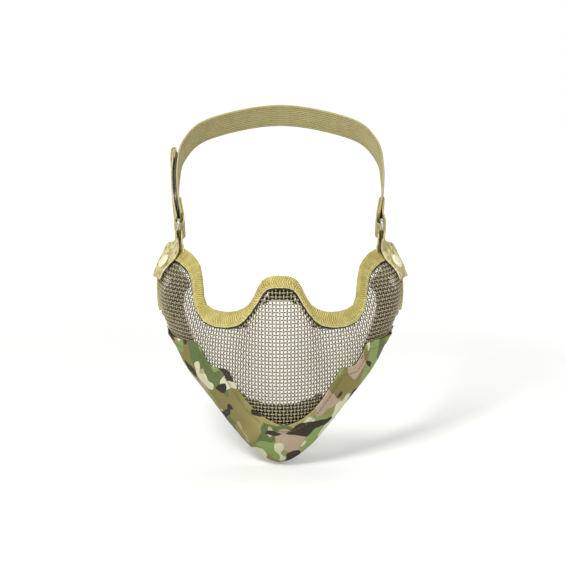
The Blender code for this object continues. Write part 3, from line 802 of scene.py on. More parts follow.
# --- Taped edges
TAPE_THICKNESS = 0.75 * MM
TAPE_OFF = 1.05 * MM             # from the mid-surface to the inside of the folded tape
REAR_THICKNESS, REAR_OFF, REAR_LEG = 0.5 * MM, 0.75 * MM, 5 * MM
REAR_SEARCH = math.radians(85)   # always on the wing, in front of its rear edge
# The leg of the top tape: (degrees from the middle, mm), pulled narrow at the eye corners.
TAPE_LEGS = np.array([(0, 7.0), (12, 7.3), (20, 8.6), (32, 9.4), (41, 8.4), (48, 6.4),
                      (60, 6.0), (72, 7.6), (86, 8.9), (98, 9.2)])


def tape_rows(off, thickness):
    """(reach, skin) pairs round a folded tape's section, the outer skin first."""
    stops = np.linspace(1, 0, 9)
    turn = np.linspace(0, math.pi, 9)
    rows = []
    for skin in (off + thickness, off):
        row = [(stop, skin) for stop in stops[:-1]]
        row += [(-skin * math.sin(a) * 0.8, skin * math.cos(a)) for a in turn]
        row += [(stop, -skin) for stop in stops[-2::-1]]
        rows.append(row)
    return rows[0] + rows[1][::-1], len(rows[0])


def tape_leg(angle):
    return np.interp(np.degrees(np.abs(angle)), TAPE_LEGS[:, 0], TAPE_LEGS[:, 1]) * MM


def fold_over(name, places, into, leg, seed, off, thickness, *nodes):
    """Tape folded over an edge given as (angle, height) places."""
    angle, height = places.T
    normal = face.normal(angle, height)
    spots = face.point(angle, height)
    ahead = unit(np.gradient(spots, axis=0))
    into = unit(into - ahead * (into * ahead).sum(1)[:, None])
    section, skin = tape_rows(off, thickness)
    along = along_line(spots)
    sag = noise_at(spots, 14 * MM, seed) * 0.35 * MM
    rows = []
    for reach, offset in section:
        wobble = 0.10 * MM * noise_at(spots + into * (reach * leg)[:, None], 3.1 * MM, seed + 4)
        sign = math.copysign(1, offset)
        if reach > 0:
            width = reach * (leg + sag)
            a, h = face.move(angle, height, into, width)
            rows.append(face.point(a, h, offset + sign * wobble))
        else:
            rows.append(spots + into * reach + normal * (offset + sign * wobble)[:, None])
    points = np.stack(rows, 1)
    count = points.shape[1]
    faces = grid_faces(len(spots), count, closed_columns=True)
    faces += end_caps(len(spots), count)
    width = np.concatenate([along_line(points[0, :skin]), along_line(points[0, skin:])[::-1]])
    uvs = np.stack(np.broadcast_arrays(along[:, None], width[None, :]), -1) / MM
    make_piece(name, points.reshape(-1, 3), faces, tape_paint(), "mask", *nodes,
               slot="khaki_tape", uvs=uvs.reshape(-1, 2))


def stitches(name, places, into, reach, offset, paint, spacing, length, radius, slot, sides=(1,)):
    """A row of thread stitches over the surface, this far from an edge."""
    angle, height = places.T
    a, h = face.move(angle, height, into, np.broadcast_to(reach, len(angle)))
    line = np.concatenate([face.point(a, h), a[:, None], h[:, None]], 1)
    line = resample(line, spacing / 8)
    tubes = []
    step = 8
    keep = max(3, int(round(step * length / spacing)))
    for side in sides:
        for start in range(0, len(line) - keep, step):
            part = line[start:start + keep + 1]
            bow = np.sin(np.linspace(0, math.pi, len(part)))
            path = face.point(part[:, 3], part[:, 4], side * (offset + radius * (1.6 * bow - 0.9)))
            tubes.append((path, face.normal(part[:, 3], part[:, 4])))
    points, faces = join_tubes(tubes, radius, 6)
    make_piece(name, points, faces, paint, "mask", slot=slot)


def top_edge_places(end, spacing=0.8 * MM):
    angles = np.linspace(-end, end, 1600)
    heights = face.top_at(angles) + 2.4 * MM * smooth_step(np.abs(angles), 1.3, 1.8)
    line = np.concatenate([face.point(angles, heights), angles[:, None], heights[:, None]], 1)
    return resample(line, spacing)[:, 3:]


def rear_edge_places(side, node):
    """Places down the rear edge of a wing, over the height of its CAD tape."""
    low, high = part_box(node)
    places = []
    for height in np.arange(high.z, low.z, -0.8 * MM):
        inside = halve(REAR_SEARCH, ANGLE_END, 10,
                       lambda angle: np.isfinite(face.cast(side * angle, height)))
        places.append((side * inside, height))
    return relax(places, 8)


def into_from_top(places):
    angle, height = places.T
    spots = face.point(angle, height)
    ahead = unit(np.gradient(spots, axis=0))
    into = np.cross(face.normal(angle, height), ahead)
    return unit(into * -np.sign(into[:, 2:3]))


def into_from_bottom(places):
    """Directions into the sheet along its bottom edge."""
    return -into_from_top(places)


# --- Jaw cover
COVER_END = math.radians(97)
COVER_OFF = 1.2 * MM             # from the mid-surface to the cloth's inner skin
COVER_THICKNESS = 0.9 * MM
COVER_OUTER = COVER_OFF + COVER_THICKNESS
COVER_ROWS = (64, 9, 10)         # down the face, round the bottom edge and inside it
COVER_TURN_IN = 12 * MM
HEM_WIDTH = 5.5 * MM
# The hem is level on the wings, steps down to the cheeks and dips to the chin, a little askew.
HEM_WING = -36 * MM              # height on the wings
HEM_TURN = math.radians(2.5)     # how far the cover is turned about the upright axis
HEM_STEP = np.radians((35.5, 46.5))
HEM_STEP_DROP = 13.5 * MM
HEM_CHIN = math.radians(27)      # where the dip to the chin starts
HEM_CHIN_DROP = 34 * MM
HEM_CHIN_CURVE = 1.75


def hem_height(angle):
    """The hem's height at an angle, rounded off at its corners."""
    near = np.radians(np.linspace(-1.8, 1.8, 7))
    turned = np.abs(np.asarray(angle, float)[..., None] + near - HEM_TURN)
    step = HEM_STEP_DROP * (1 - smooth_step(turned, *HEM_STEP))
    dip = HEM_CHIN_DROP * (1 - np.minimum(turned / HEM_CHIN, 1) ** HEM_CHIN_CURVE)
    return (HEM_WING - step - dip).mean(axis=-1)


def cover_relief(spots, drop):
    """How far the cloth stands off: hem roll, slack between the seams, and creases."""
    hem = 0.55 * MM * (1 - smooth_step(drop, HEM_WIDTH, HEM_WIDTH + 0.8 * MM))
    lip = 0.35 * MM * np.exp(-(drop / (1.2 * MM)) ** 2)
    seam = -0.45 * MM * np.exp(-((drop - HEM_WIDTH + 0.6 * MM) / (0.7 * MM)) ** 2)
    slack = 0.9 * MM * smooth_step(drop, HEM_WIDTH, 22 * MM)
    soft = 0.55 * MM * noise_at(spots * (1, 1, 0.6), 17 * MM, 3.0) * smooth_step(
        drop, 3 * MM, 14 * MM)
    fine = 0.16 * MM * noise_at(spots * (1, 1, 0.45), 4.2 * MM, 8.0)
    pucker = 0.22 * MM * noise_at(spots * (1, 1, 0.2), 2.6 * MM, 5.0) * np.exp(
        -((drop - HEM_WIDTH) / (4 * MM)) ** 2)
    return hem + lip + seam + slack + soft + fine + pucker


def cover_rows():
    """(angle, hem height, bottom height) places along the cover, evenly spaced."""
    angles = np.linspace(-COVER_END, COVER_END, 2400)
    middle = face.point(angles, (face.bottom_at(angles) + hem_height(angles)) / 2)
    line = np.concatenate([middle, angles[:, None]], 1)
    return resample(line, 1.0 * MM)[:, 3]


def build_cover():
    """The camouflage cloth: its two skins from the hem down, round the edge and up inside."""
    angles = cover_rows()
    hem, bottom = hem_height(angles), face.bottom_at(angles)
    turned_in = into_from_bottom(np.stack([angles, bottom], 1))
    rows_down, rows_round, rows_in = COVER_ROWS
    heights = [hem + (bottom - hem) * share for share in np.linspace(0, 1, rows_down)]
    lines = np.stack([face.point(angles, height) for height in heights])
    drops = np.concatenate([np.zeros((1, len(angles))),
                            np.cumsum(np.linalg.norm(np.diff(lines, axis=0), axis=2), axis=0)])
    depth = drops[-1]
    points_out, points_in, reach = [], [], list(drops)
    for height, flat, drop in zip(heights, lines, drops):
        relief = cover_relief(flat, drop)
        points_out.append(face.point(angles, height, COVER_OUTER + relief))
        points_in.append(face.point(angles, height, COVER_OFF + relief * 0.5))
    edge, normal = face.point(angles, bottom), face.normal(angles, bottom)
    for turn in np.linspace(0, math.pi, rows_round)[1:-1]:
        for store, off, share in ((points_out, COVER_OUTER, 1), (points_in, COVER_OFF, 0.5)):
            radius = (off + share * relief * math.cos(turn / 2) ** 2)[:, None]
            store.append(edge + normal * radius * math.cos(turn)
                         - turned_in * radius * math.sin(turn))
        reach.append(depth + turn * COVER_OUTER)
    width = COVER_TURN_IN * np.minimum(1, 0.3 + 2.5 * (1 - np.abs(angles) / COVER_END))
    for share in np.linspace(0, 1, rows_in):
        a, h = face.move(angles, bottom, turned_in, width * share)
        ripple = 0.3 * MM * noise_at(face.point(a, h), 6 * MM, 12.0) * share
        points_out.append(face.point(a, h, -COVER_OUTER - ripple))
        points_in.append(face.point(a, h, -COVER_OFF - ripple))
        reach.append(depth + math.pi * COVER_OUTER + width * share)
    ring = np.concatenate([np.stack(points_out), np.stack(points_in)[::-1]]).transpose(1, 0, 2)
    rows, columns = ring.shape[:2]
    faces = grid_faces(rows, columns, closed_columns=True)
    half = columns // 2
    for start, flip in ((0, False), ((rows - 1) * columns, True)):
        for j in range(half - 1):
            quad = (start + j, start + j + 1, start + columns - 2 - j, start + columns - 1 - j)
            faces.append(quad[::-1] if flip else quad)
    across = along_line(face.point(angles, (hem + bottom) / 2))
    down = np.stack(reach + reach[::-1]).T
    uvs = np.stack([np.broadcast_to(across[:, None], down.shape), down], -1) / MM
    make_piece("jaw_cover_cloth", ring.reshape(-1, 3), faces, camo_paint(), "mask", "jaw_cover",
               slot="camo_cloth", uvs=uvs.reshape(-1, 2))


# --- Foam pads
VOXEL = 2.2 * MM
PAD_SMOOTHING = 6                # passes that round off the voxels
SWELL_PRESSURE = 4.0
SWELL_MOST = 1.6 * MM            # no point moves further than this
SWELL_FRAMES = 20


def pad_block(node):
    """A rounded copy of a CAD pad, remeshed finely enough for the cloth simulation."""
    mesh = NODES[node].data.copy()
    block = bpy.data.objects.new(node + "_foam", mesh)
    bpy.context.scene.collection.objects.link(block)
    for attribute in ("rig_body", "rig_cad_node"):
        if attribute in block:
            del block[attribute]
    mesh.materials.clear()
    remesh = block.modifiers.new("voxels", "REMESH")
    remesh.mode = "VOXEL"
    remesh.voxel_size = VOXEL
    smooth = block.modifiers.new("round", "SMOOTH")
    smooth.iterations = PAD_SMOOTHING
    smooth.factor = 0.5
    apply_modifiers(block)
    return block


def apply_modifiers(piece):
    graph = bpy.context.evaluated_depsgraph_get()
    shape = bpy.data.meshes.new_from_object(piece.evaluated_get(graph))
    piece.modifiers.clear()
    piece.data = shape


def swell(piece):
    """Blows the piece up a little with a cloth simulation, with a cap on every point's way."""
    before = coordinates(piece)
    cloth = piece.modifiers.new("swell", "CLOTH")
    cloth.settings.use_pressure = True
    cloth.settings.uniform_pressure_force = SWELL_PRESSURE
    cloth.settings.effector_weights.gravity = 0
    cloth.settings.quality = 5
    cloth.settings.mass = 0.3
    scene = bpy.context.scene
    for step in range(1, SWELL_FRAMES + 1):
        scene.frame_set(step)
    apply_modifiers(piece)
    scene.frame_set(1)
    moved = coordinates(piece) - before
    length = np.linalg.norm(moved, axis=1, keepdims=True)
    held = np.minimum(1, SWELL_MOST / np.maximum(length, 1e-9))
    place_coordinates(piece, before + moved * held)


def coordinates(piece):
    spots = np.zeros(len(piece.data.vertices) * 3, np.float32)
    piece.data.vertices.foreach_get("co", spots)
    return spots.reshape(-1, 3).astype(float)


def place_coordinates(piece, spots):
    piece.data.vertices.foreach_set("co", spots.astype(np.float32).ravel())
    piece.data.update()


WING_FILL = 3.6 * MM


def fill_wing(spots, word):
    """Swells a side pad's outer skin against the wing, all but where the tab is riveted."""
    angle = np.arctan2(spots[:, 0], AXIS_Y - spots[:, 1])
    middle, normal = face.point(angle, spots[:, 2]), face.normal(angle, spots[:, 2])
    offset = ((spots - middle) * normal).sum(1)
    foot = rivet_foot(word)[2]
    bar = np.array(JOINTS["ring_%s_tilt" % word]["pos_m"])
    low, high = foot + unit(foot - bar) * 8 * MM, bar
    share = np.clip((spots - low) @ (high - low) / ((high - low) @ (high - low)), 0, 1)
    away = np.linalg.norm(spots - low - share[:, None] * (high - low), axis=1)
    lift = (WING_FILL * smooth_step(offset, -10.5 * MM, -7.6 * MM)
            * smooth_step(away, 9 * MM, 12 * MM))
    return spots + normal * lift[:, None]


def build_pad(node):
    block = pad_block(node)
    swell(block)
    fine = block.modifiers.new("fine", "SUBSURF")
    fine.levels = fine.render_levels = 1
    apply_modifiers(block)
    spots = coordinates(block)
    if node.startswith("side_pad_"):
        spots = fill_wing(spots, node.rsplit("_", 1)[1])
    normals = np.zeros(len(block.data.vertices) * 3, np.float32)
    block.data.vertices.foreach_get("normal", normals)
    grain = noise_at(spots, 9 * MM, 2.0) * 0.25 * MM + noise_at(spots, 1.9 * MM, 6.0) * 0.10 * MM
    place_coordinates(block, spots + normals.reshape(-1, 3) * grain[:, None])
    block.data.shade_smooth()
    block.data.materials.append(foam_paint())
    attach(block, "mask")
    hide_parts(node)


PADS = [node for node in sorted(NODES) if node.endswith("_pad") or "_pad_" in node]


# --- Strap lines, read off the CAD strips
HEAD = 60 * MM                    # rays leave from this far along the strap's plane
WEBBING = 1.15 * MM


def strap_point(x, along, across=0.0):
    """A point of space from its place in the strap's plane."""
    return (SWING + SIDEWAYS * np.asarray(x)[..., None] + ALONG * np.asarray(along)[..., None]
            + ACROSS * np.asarray(across)[..., None])


def crossings(tree, angle):
    """Distances from the head's centre at which a ray in the strap's plane meets a solid."""
    start = Vector(strap_point(0.0, HEAD))
    out = Vector(SIDEWAYS * math.cos(angle) + ALONG * math.sin(angle))
    found, reach = [], 0.0
    while len(found) < 6:
        hit = tree.ray_cast(start + out * (reach + 1e-5), out)
        if hit[0] is None:
            break
        reach = (hit[0] - start).length
        found.append(reach)
    return found


def layer_line(node, side, layer=0):
    """(x, along) places down the middle of one layer of a strap strip, from front to rear."""
    tree = tree_of(node)
    places = []
    for angle in np.radians(np.arange(-38, 90.01, 0.4)):
        turned = angle if side > 0 else math.pi - angle
        found = crossings(tree, turned)
        if len(found) >= 2 * layer + 2:
            reach = (found[2 * layer] + found[2 * layer + 1]) / 2
            thick = found[2 * layer + 1] - found[2 * layer]
            if thick < 2.4 * MM:
                places.append((reach * math.cos(turned), HEAD + reach * math.sin(turned)))
    return np.array(places)


def relax(line, passes):
    """Smooths a line, holding its ends."""
    line = np.array(line, float)
    for _ in range(passes):
        line[1:-1] = (line[:-2] + 2 * line[1:-1] + line[2:]) / 4
    return line


def even(line, spacing=1.0 * MM, passes=6):
    flat = np.concatenate([np.asarray(line), np.zeros((len(line), 1))], 1)
    return relax(resample(flat, spacing)[:, :2], passes)


def strap_frames(line):
    """Frames for sweep() along (x, along) places."""
    slope = unit(np.gradient(line, axis=0))
    frames = []
    for (x, along), (dx, da) in zip(line, slope):
        frames.append((strap_point(x, along), SIDEWAYS * da - ALONG * dx, ACROSS))
    return frames


def strap_spots(node):
    """The points of a CAD node, from the middle of the swing's axis."""
    return np.array([vertex.co for vertex in NODES[node].data.vertices]) - SWING


def fold_turn(node, side):
    """(x, along) places of the half turn round a ring, from the head's side outwards."""
    spots = strap_spots(node)
    ring_x = abs(JOINTS["ring_left_tilt"]["pos_m"][0])
    outer = ring_x - np.abs(spots[:, 0]).min()
    radius = outer - 0.05 * MM
    centre = (spots @ ALONG).min() + outer
    turn = np.linspace(0, math.pi, 15)
    return np.stack([side * (ring_x - radius * np.cos(turn)), centre - radius * np.sin(turn)], 1)


def cloth_wave(size, height, seed):
    """A wave function for sweep(): small cloth ripples."""
    def wave(along, across):
        along, across = np.broadcast_arrays(along, across)
        return height * noise_at(np.stack([along, across, 0 * along], -1), size, seed)
    return wave


def make_strip(name, line, half_width, thickness, paint, body, nodes, slot,
               ribs=0, rib_height=0.0, widths=None, wave=None, across_steps=24):
    section = strip_section(half_width, thickness, ribs, rib_height, across_steps)
    points, faces, uvs = sweep(strap_frames(line), section, widths, wave)
    return make_piece(name, points, faces, paint, body, *nodes, slot=slot, uvs=uvs)


def build_band():
    right = layer_line("head_strap_band", 1)
    left = layer_line("head_strap_band", -1)
    line = even(np.concatenate([right, left[-2::-1]]), 0.9 * MM, 12)
    make_strip("head_strap_elastic", line, 10 * MM, 1.25 * MM, elastic_paint(), "strap",
               ["head_strap_band"], "ribbed_elastic", ribs=11, rib_height=0.22 * MM,
               wave=cloth_wave(5 * MM, 0.06 * MM, 3.0), across_steps=66)


def build_right_loop():
    node = "strap_fold_right"
    inner = layer_line(node, 1)
    turn = fold_turn(node, 1)
    outer = layer_line(node, 1, 1)
    inner = inner[inner[:, 1] > turn[0, 1] + 4 * MM]
    outer = outer[outer[:, 1] > turn[-1, 1] + 9 * MM]
    line = even(np.concatenate([inner[::-1], turn, outer]), 0.7 * MM, 4)
    widths = 1 - 0.10 * np.exp(-((line[:, 1] - turn[:, 1].min()) / (9 * MM)) ** 2)
    make_strip("strap_loop_right", line, 7.7 * MM, WEBBING, webbing_paint("strap_webbing_cloth"),
               "strap", [node], "strap_webbing", widths=widths,
               wave=cloth_wave(4 * MM, 0.05 * MM, 5.0))


def build_tail():
    """Webbing sewn to the band, round the left ring and back as the adjustable tail."""
    turn = fold_turn("strap_fold_left", -1)
    inner = layer_line("strap_fold_left", -1)
    inner = inner[inner[:, 1] > turn[0, 1] + 4 * MM]
    tail = layer_line("strap_tail", -1)
    line = even(np.concatenate([inner[::-1], turn, tail]), 0.8 * MM, 2)
    reach = along_line(line)
    past = reach - reach[int(np.argmin(line[:, 1]))]
    widths = 0.76 + 0.22 * smooth_step(past, 4 * MM, 16 * MM)
    piece = make_strip("strap_tail_webbing", line, 10 * MM, WEBBING,
                       webbing_paint("tail_webbing_cloth"), None,
                       ["strap_fold_left", "strap_tail"], "strap_webbing", widths=widths,
                       wave=cloth_wave(4 * MM, 0.05 * MM, 7.0))
    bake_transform(piece)
    return tail


def build_pull_end(tail):
    """The folded piece that the fingers pull: webbing wrapped round the tail's end."""
    end = tail[-1]
    ahead = unit(tail[-1] - tail[-6])
    away = np.array((-ahead[1], ahead[0]))
    off = WEBBING + 0.12 * MM
    inner = [tail[-k] - away * off for k in range(16, 1, -1)]
    nose = [end + away * off * -math.cos(a) + ahead * (0.4 * MM + off * math.sin(a))
            for a in np.linspace(0, math.pi, 9)]
    outer = [tail[-k] + away * off for k in range(2, 19)]
    line = even(np.array(inner + nose + outer), 0.7 * MM, 2)
    make_strip("tail_pull_fold", line, 10.1 * MM, WEBBING, webbing_paint("pull_webbing_cloth"),
               "tail", ["tail_end_fold"], "strap_webbing", wave=cloth_wave(4 * MM, 0.06 * MM, 9.0))


def build_fasteners():
    """The loop strip sewn to the band and the hook strip sewn to the tail."""
    for node, name, body, bumps in (
            ("strap_loop_fastener", "fastener_loop_pile", "strap", 0.22),
            ("strap_hook_fastener", "fastener_hook_strip", "tail", 0.10)):
        line = even(layer_line(node, -1), 0.55 * MM, 4)
        wave = cloth_wave(1.05 * MM, bumps * MM, 4.0)
        make_strip(name, line, 9 * MM, 0.62 * MM, pile_paint(name + "_cloth", bumps), body,
                   [node], "hook_and_loop", wave=wave, across_steps=60)


# --- Rings, tabs and rivets
def ring_places(node):
    """How far a CAD ring reaches along the strap, at its near and its far end."""
    spots = strap_spots(node)
    return (spots @ ALONG).min(), (spots @ ALONG).max()


WIRE_RING = 1.1 * MM             # the radius of the ring's wire
RING_CORNER = 2.4 * MM


def build_ring(word):
    """A bent-wire D with its butt weld in the middle of the straight bar."""
    node = "d_ring_" + word
    low, high = ring_places(node)
    bar, bow = low + WIRE_RING, high - WIRE_RING
    corner_along = bar + RING_CORNER
    reach = bow - RING_CORNER
    corner_across = math.sqrt(reach ** 2 - corner_along ** 2)
    bow_end = math.atan2(corner_across, corner_along)
    turn = np.linspace(-bow_end, bow_end, 60)
    line = [(bow * math.cos(a), bow * math.sin(a)) for a in turn]
    bend = [(corner_along + RING_CORNER * math.cos(a), corner_across + RING_CORNER * math.sin(a))
            for a in np.linspace(bow_end, math.pi, 16)[1:]]
    straight = [(bar, share * corner_across) for share in np.linspace(0.96, -0.96, 33)]
    line += bend + straight + [(along, -across) for along, across in reversed(bend)]
    line = np.array(line)
    x = JOINTS["ring_%s_tilt" % word]["pos_m"][0]
    path = strap_point(np.full(len(line), x), line[:, 0], line[:, 1])
    weld = 1 + 0.10 * np.exp(-(line[:, 1] / (0.9 * MM)) ** 2) * (line[:, 0] < bar + 0.1 * MM)
    side_way = np.broadcast_to(SIDEWAYS, path.shape)
    points, faces = tube_mesh(path, side_way, WIRE_RING * weld, 16, closed=True)
    make_piece(node + "_wire", points, faces, steel_paint(), "ring_" + word, node,
               slot="ring_steel")


def hermite(start, end, leave, arrive, count):
    """Points strictly between two ends of a curve that leaves and arrives along vectors."""
    t = np.linspace(0, 1, count + 2)[1:-1, None]
    return ((2 * t ** 3 - 3 * t ** 2 + 1) * start + (t ** 3 - 2 * t ** 2 + t) * leave
            + (3 * t ** 2 - 2 * t ** 3) * end + (t ** 3 - t ** 2) * arrive)


def build_tab(side, word):
    """Webbing folded round the ring's bar and riveted through the wing."""
    angle, height, foot, axis, top = rivet_foot(word)
    bar = np.array(JOINTS["ring_%s_tilt" % word]["pos_m"])
    away = SIDEWAYS * side
    down = unit((foot - bar) - axis * ((foot - bar) @ axis))
    width = unit(np.cross(axis, down))
    width = width * np.sign(width @ ACROSS)
    radius = WIRE_RING + 0.3 * MM + WEBBING / 2
    leg = top - 2.15 * MM

    def on_wing(reaches, offset):
        a, h = face.move(np.full(len(reaches), angle), np.full(len(reaches), height),
                         down, np.asarray(reaches) * MM)
        return face.point(a, h, offset)

    outer = on_wing(np.arange(11.5, -3.1, -1.0), leg)
    turn = [bar + (away * math.cos(a) + ALONG * math.sin(a)) * radius
            for a in np.linspace(0, math.pi, 11)]
    inner = on_wing(np.arange(-4, 8.1, 1.0), -leg)
    pull = 13 * MM
    up = hermite(outer[-1], turn[0], unit(outer[-1] - outer[-2]) * pull, ALONG * pull, 14)
    back = hermite(turn[-1], inner[0], -ALONG * pull, unit(inner[1] - inner[0]) * pull, 14)
    centres = np.concatenate([outer, up, turn, back, inner])
    at_bar = np.concatenate([np.zeros(len(outer)), np.linspace(0, 1, len(up) + 2)[1:-1],
                             np.ones(len(turn)), np.linspace(1, 0, len(back) + 2)[1:-1],
                             np.zeros(len(inner))])
    twist = smooth_step(at_bar, 0.45, 1)[:, None]
    flare = np.zeros((len(centres), 1))
    bulge = slice(4, len(outer) + len(up))
    flare[bulge, 0] = np.sin(np.linspace(0, 1, bulge.stop - bulge.start) ** 1.4 * math.pi)
    across = unit(width * (1 - twist) + ACROSS * twist - 0.36 * flare * away)
    line = resample(np.concatenate([centres, across, at_bar[:, None]], 1), 0.7 * MM)
    centres = relax(line[:, :3], 5)
    ahead = unit(np.gradient(centres, axis=0))
    across = unit(line[:, 3:6] - ahead * (line[:, 3:6] * ahead).sum(1)[:, None])
    through = unit(np.cross(across, ahead))
    frames = list(zip(centres, through, across))
    widths = 1 - 0.30 * smooth_step(line[:, 6], 0.4, 1.0)
    points, faces, uvs = sweep(frames, strip_section(8.6 * MM, WEBBING), widths,
                               cloth_wave(5 * MM, 0.12 * MM, 11.0 * side))
    make_piece("strap_tab_webbing_" + word, points, faces, tab_paint(), "mask",
               "strap_tab_" + word, slot="tab_webbing", uvs=uvs)


def turned(name, profile, centre, axis, paint, slot, *nodes, sides=64, closed=False):
    """A turned piece from (radius, height) pairs about an axis."""
    first = unit(np.cross(axis, (0, 0, 1.0)))
    second = np.cross(axis, first)
    rings = []
    for angle in np.linspace(0, 2 * math.pi, sides, endpoint=False):
        out = first * math.cos(angle) + second * math.sin(angle)
        rings.append([centre + axis * height + out * radius for radius, height in profile])
    count = len(profile)
    points = np.array(rings).reshape(-1, 3)
    faces = grid_faces(sides, count, closed_rows=True, closed_columns=closed)
    if not closed:
        for column in (0, count - 1):
            faces.append(tuple(i * count + column for i in range(sides)))
    return make_piece(name, points, faces, paint, "mask", *nodes, slot=slot)


def rounded(profile, radius=0.18 * MM):
    """A profile with its inner corners cut to small arcs."""
    profile = np.asarray(profile, float)
    line = [tuple(profile[0])]
    for before, here, after in zip(profile, profile[1:], profile[2:]):
        back, ahead = before - here, after - here
        reach = min(radius, 0.4 * np.linalg.norm(back), 0.4 * np.linalg.norm(ahead))
        start, end = here + unit(back) * reach, here + unit(ahead) * reach
        for share in (0, 0.33, 0.67, 1):
            line.append(tuple(start * (1 - share) ** 2 + 2 * share * (1 - share) * here
                              + end * share ** 2))
    line.append(tuple(profile[-1]))
    return line


def build_rivet(word):
    _, _, foot, axis, top = rivet_foot(word)
    low, high = top - 1.9 * MM, top + 0.02 * MM
    cap = [(0.05, high), (3.3, high), (4.3, high - 0.30 * MM), (4.95, high - 0.85 * MM),
           (5.25, high - 1.35 * MM), (5.2, low + 0.12 * MM), (4.7, low), (1.7, low),
           (1.7, -low), (2.7, -low - 0.2 * MM), (2.6, -low - 0.65 * MM), (1.9, -low - 0.9 * MM),
           (0.05, -low - 0.7 * MM)]
    cap = [(radius * MM, height) for radius, height in cap]
    turned("tab_rivet_cap_" + word, rounded(cap), foot, axis, rivet_paint(), "rivet_paint",
           "tab_rivet_" + word)
    seat = -low + 0.72 * MM
    ring = [(2.0 * MM, seat), (4.3 * MM, seat), (4.5 * MM, seat - 0.25 * MM),
            (4.5 * MM, seat - 0.55 * MM), (4.2 * MM, seat - 0.72 * MM),
            (2.0 * MM, seat - 0.72 * MM)]
    turned("rivet_washer_plate_" + word, ring, foot, axis, steel_paint(), "rivet_paint",
           "rivet_washer_" + word, closed=True)


# --- Assembly
TAPE_END = math.radians(98)
THREAD_RADIUS = 0.22 * MM


def build_tapes():
    places = top_edge_places(TAPE_END)
    into = into_from_top(places)
    leg = tape_leg(places[:, 0])
    fold_over("edge_tape_top", places, into, leg, 1.0, TAPE_OFF, TAPE_THICKNESS,
              "top_edge_binding")
    # A dark bead just past the tape's leg, on both faces of the mesh: painted shadow under the
    # tape's edge.
    spots = []
    for lift in (0.62, -0.62):
        a, h = face.move(*places.T, into, leg + 0.35 * MM)
        spots.append((face.point(a, h, lift * MM), face.normal(a, h)))
    points, faces = join_tubes(spots, 0.55 * MM, 8)
    make_piece("edge_tape_glue_line", points, faces, tape_shadow_line_paint(), "mask", slot="khaki_tape")
    thread = thread_paint("khaki_thread", rgb(222, 208, 146))
    off = TAPE_OFF + TAPE_THICKNESS
    stitches("edge_tape_stitches", places[6:-6], into[6:-6], leg[6:-6] - 1.6 * MM, off, thread,
             2.9 * MM, 2.2 * MM, THREAD_RADIUS, "khaki_tape", (1, -1))
    for side, word in SIDES:
        rear = rear_edge_places(side, "rear_edge_binding_" + word)
        across = face.slopes(rear[:, 0], rear[:, 1])[0]
        fold_over("edge_tape_rear_" + word, rear, unit(-side * across),
                  np.full(len(rear), REAR_LEG), 2.0 + side, REAR_OFF, REAR_THICKNESS,
                  "rear_edge_binding_" + word)


def build_cover_stitches():
    angles = cover_rows()
    places = np.stack([angles, hem_height(angles)], 1)
    into = into_from_top(places)
    thread = thread_paint("cover_thread", rgb(128, 120, 84))
    stitches("jaw_cover_stitches", places[4:-4], into[4:-4], HEM_WIDTH - 0.6 * MM,
             COVER_OUTER + 0.25 * MM, thread, 2.6 * MM, 1.9 * MM, 0.18 * MM,
             "camo_cloth")


build_wires()
build_tapes()
build_cover()
build_cover_stitches()
for pad in PADS:
    build_pad(pad)
build_band()
build_right_loop()
build_pull_end(build_tail())
build_fasteners()
for side, word in SIDES:
    build_ring(word)
    build_tab(side, word)
    build_rivet(word)


# --- Stage
def build_stage():
    """A wide pale floor that fades into the white of the world towards its rim."""
    rim = [(4 * math.cos(a), 4 * math.sin(a), cad_low.z - 2 * MM)
           for a in np.linspace(0, 2 * math.pi, 96, endpoint=False)]
    mesh = bpy.data.meshes.new("floor")
    mesh.from_pydata(rim, [], [tuple(range(96))])
    paint = Paint("pale_floor", 0.9)
    reach = paint.add("VectorMath", {"operation": "LENGTH"}, Vector=paint.place).outputs["Value"]
    seen = paint.add("LightPath").outputs["Is Camera Ray"]
    paint.set(Base_Color=paint.mix(paint.noise(0.4), rgb(236, 236, 234), rgb(244, 244, 242)),
              Emission_Color=(1, 1, 1, 1), Emission_Strength=paint.math(
                  "MULTIPLY", paint.math("MULTIPLY", paint.step(reach, 0.25, 1.3), 0.55), seen))
    mesh.materials.append(paint.material)
    floor = bpy.data.objects.new("floor", mesh)
    bpy.context.scene.collection.objects.link(floor)


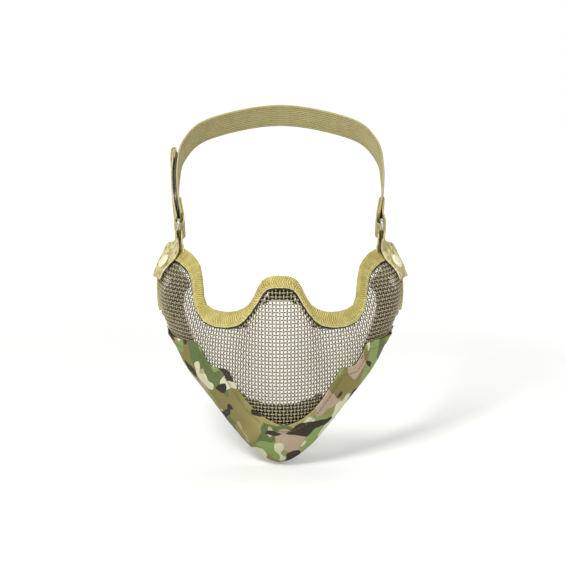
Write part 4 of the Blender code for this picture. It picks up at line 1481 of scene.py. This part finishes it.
def add_light(name, place, size, power):
    light = bpy.data.lights.new(name, "AREA")
    light.size = size
    light.energy = power
    lamp = bpy.data.objects.new(name, light)
    lamp.location = place
    lamp.rotation_euler = (Vector(SWING) - Vector(place)).to_track_quat("-Z", "Y").to_euler()
    bpy.context.scene.collection.objects.link(lamp)


def build_lights():
    world = bpy.data.worlds.new("studio")
    world.use_nodes = True
    nodes, links = world.node_tree.nodes, world.node_tree.links
    nodes["Background"].inputs[0].default_value = (1, 1, 1, 1)
    power = nodes.new("ShaderNodeMapRange")
    power.inputs["To Min"].default_value, power.inputs["To Max"].default_value = 0.56, 1.0
    links.new(nodes.new("ShaderNodeLightPath").outputs["Is Camera Ray"], power.inputs["Value"])
    links.new(power.outputs[0], nodes["Background"].inputs[1])
    bpy.context.scene.world = world
    bpy.context.scene.view_settings.view_transform = "Standard"
    add_light("key", (-0.45, -0.75, 0.85), 0.35, 11)
    add_light("fill", (0.8, -0.7, 0.3), 0.8, 3)
    add_light("rim", (0.2, 0.8, 0.9), 0.7, 4)


CAMERA_ELEVATION = math.radians(9)
CAMERA_AIM = (2 * MM, -29.9 * MM, 44.4 * MM)   # right, up and back from the swing's axis
CAMERA_DISTANCE = 1.0
CAMERA_LENS = 96                 # mm, on a sensor 36 mm wide


def build_camera():
    """Straight ahead of the face and a little above it, with a long lens."""
    elevation = CAMERA_ELEVATION
    back = Vector((0, -math.cos(elevation), math.sin(elevation)))
    up = Vector((0, math.sin(elevation), math.cos(elevation)))
    aside, above, behind = CAMERA_AIM
    middle = Vector(SWING) + back * behind + up * above + Vector((aside, 0, 0))
    camera = bpy.data.cameras.new("camera")
    camera.lens, camera.sensor_width = CAMERA_LENS, 36
    holder = bpy.data.objects.new("camera", camera)
    holder.location = middle + back * CAMERA_DISTANCE
    holder.rotation_euler = back.to_track_quat("Z", "Y").to_euler()
    bpy.context.scene.collection.objects.link(holder)
    bpy.context.scene.camera = holder


build_stage()
build_lights()
build_camera()
bpy.context.view_layer.update()
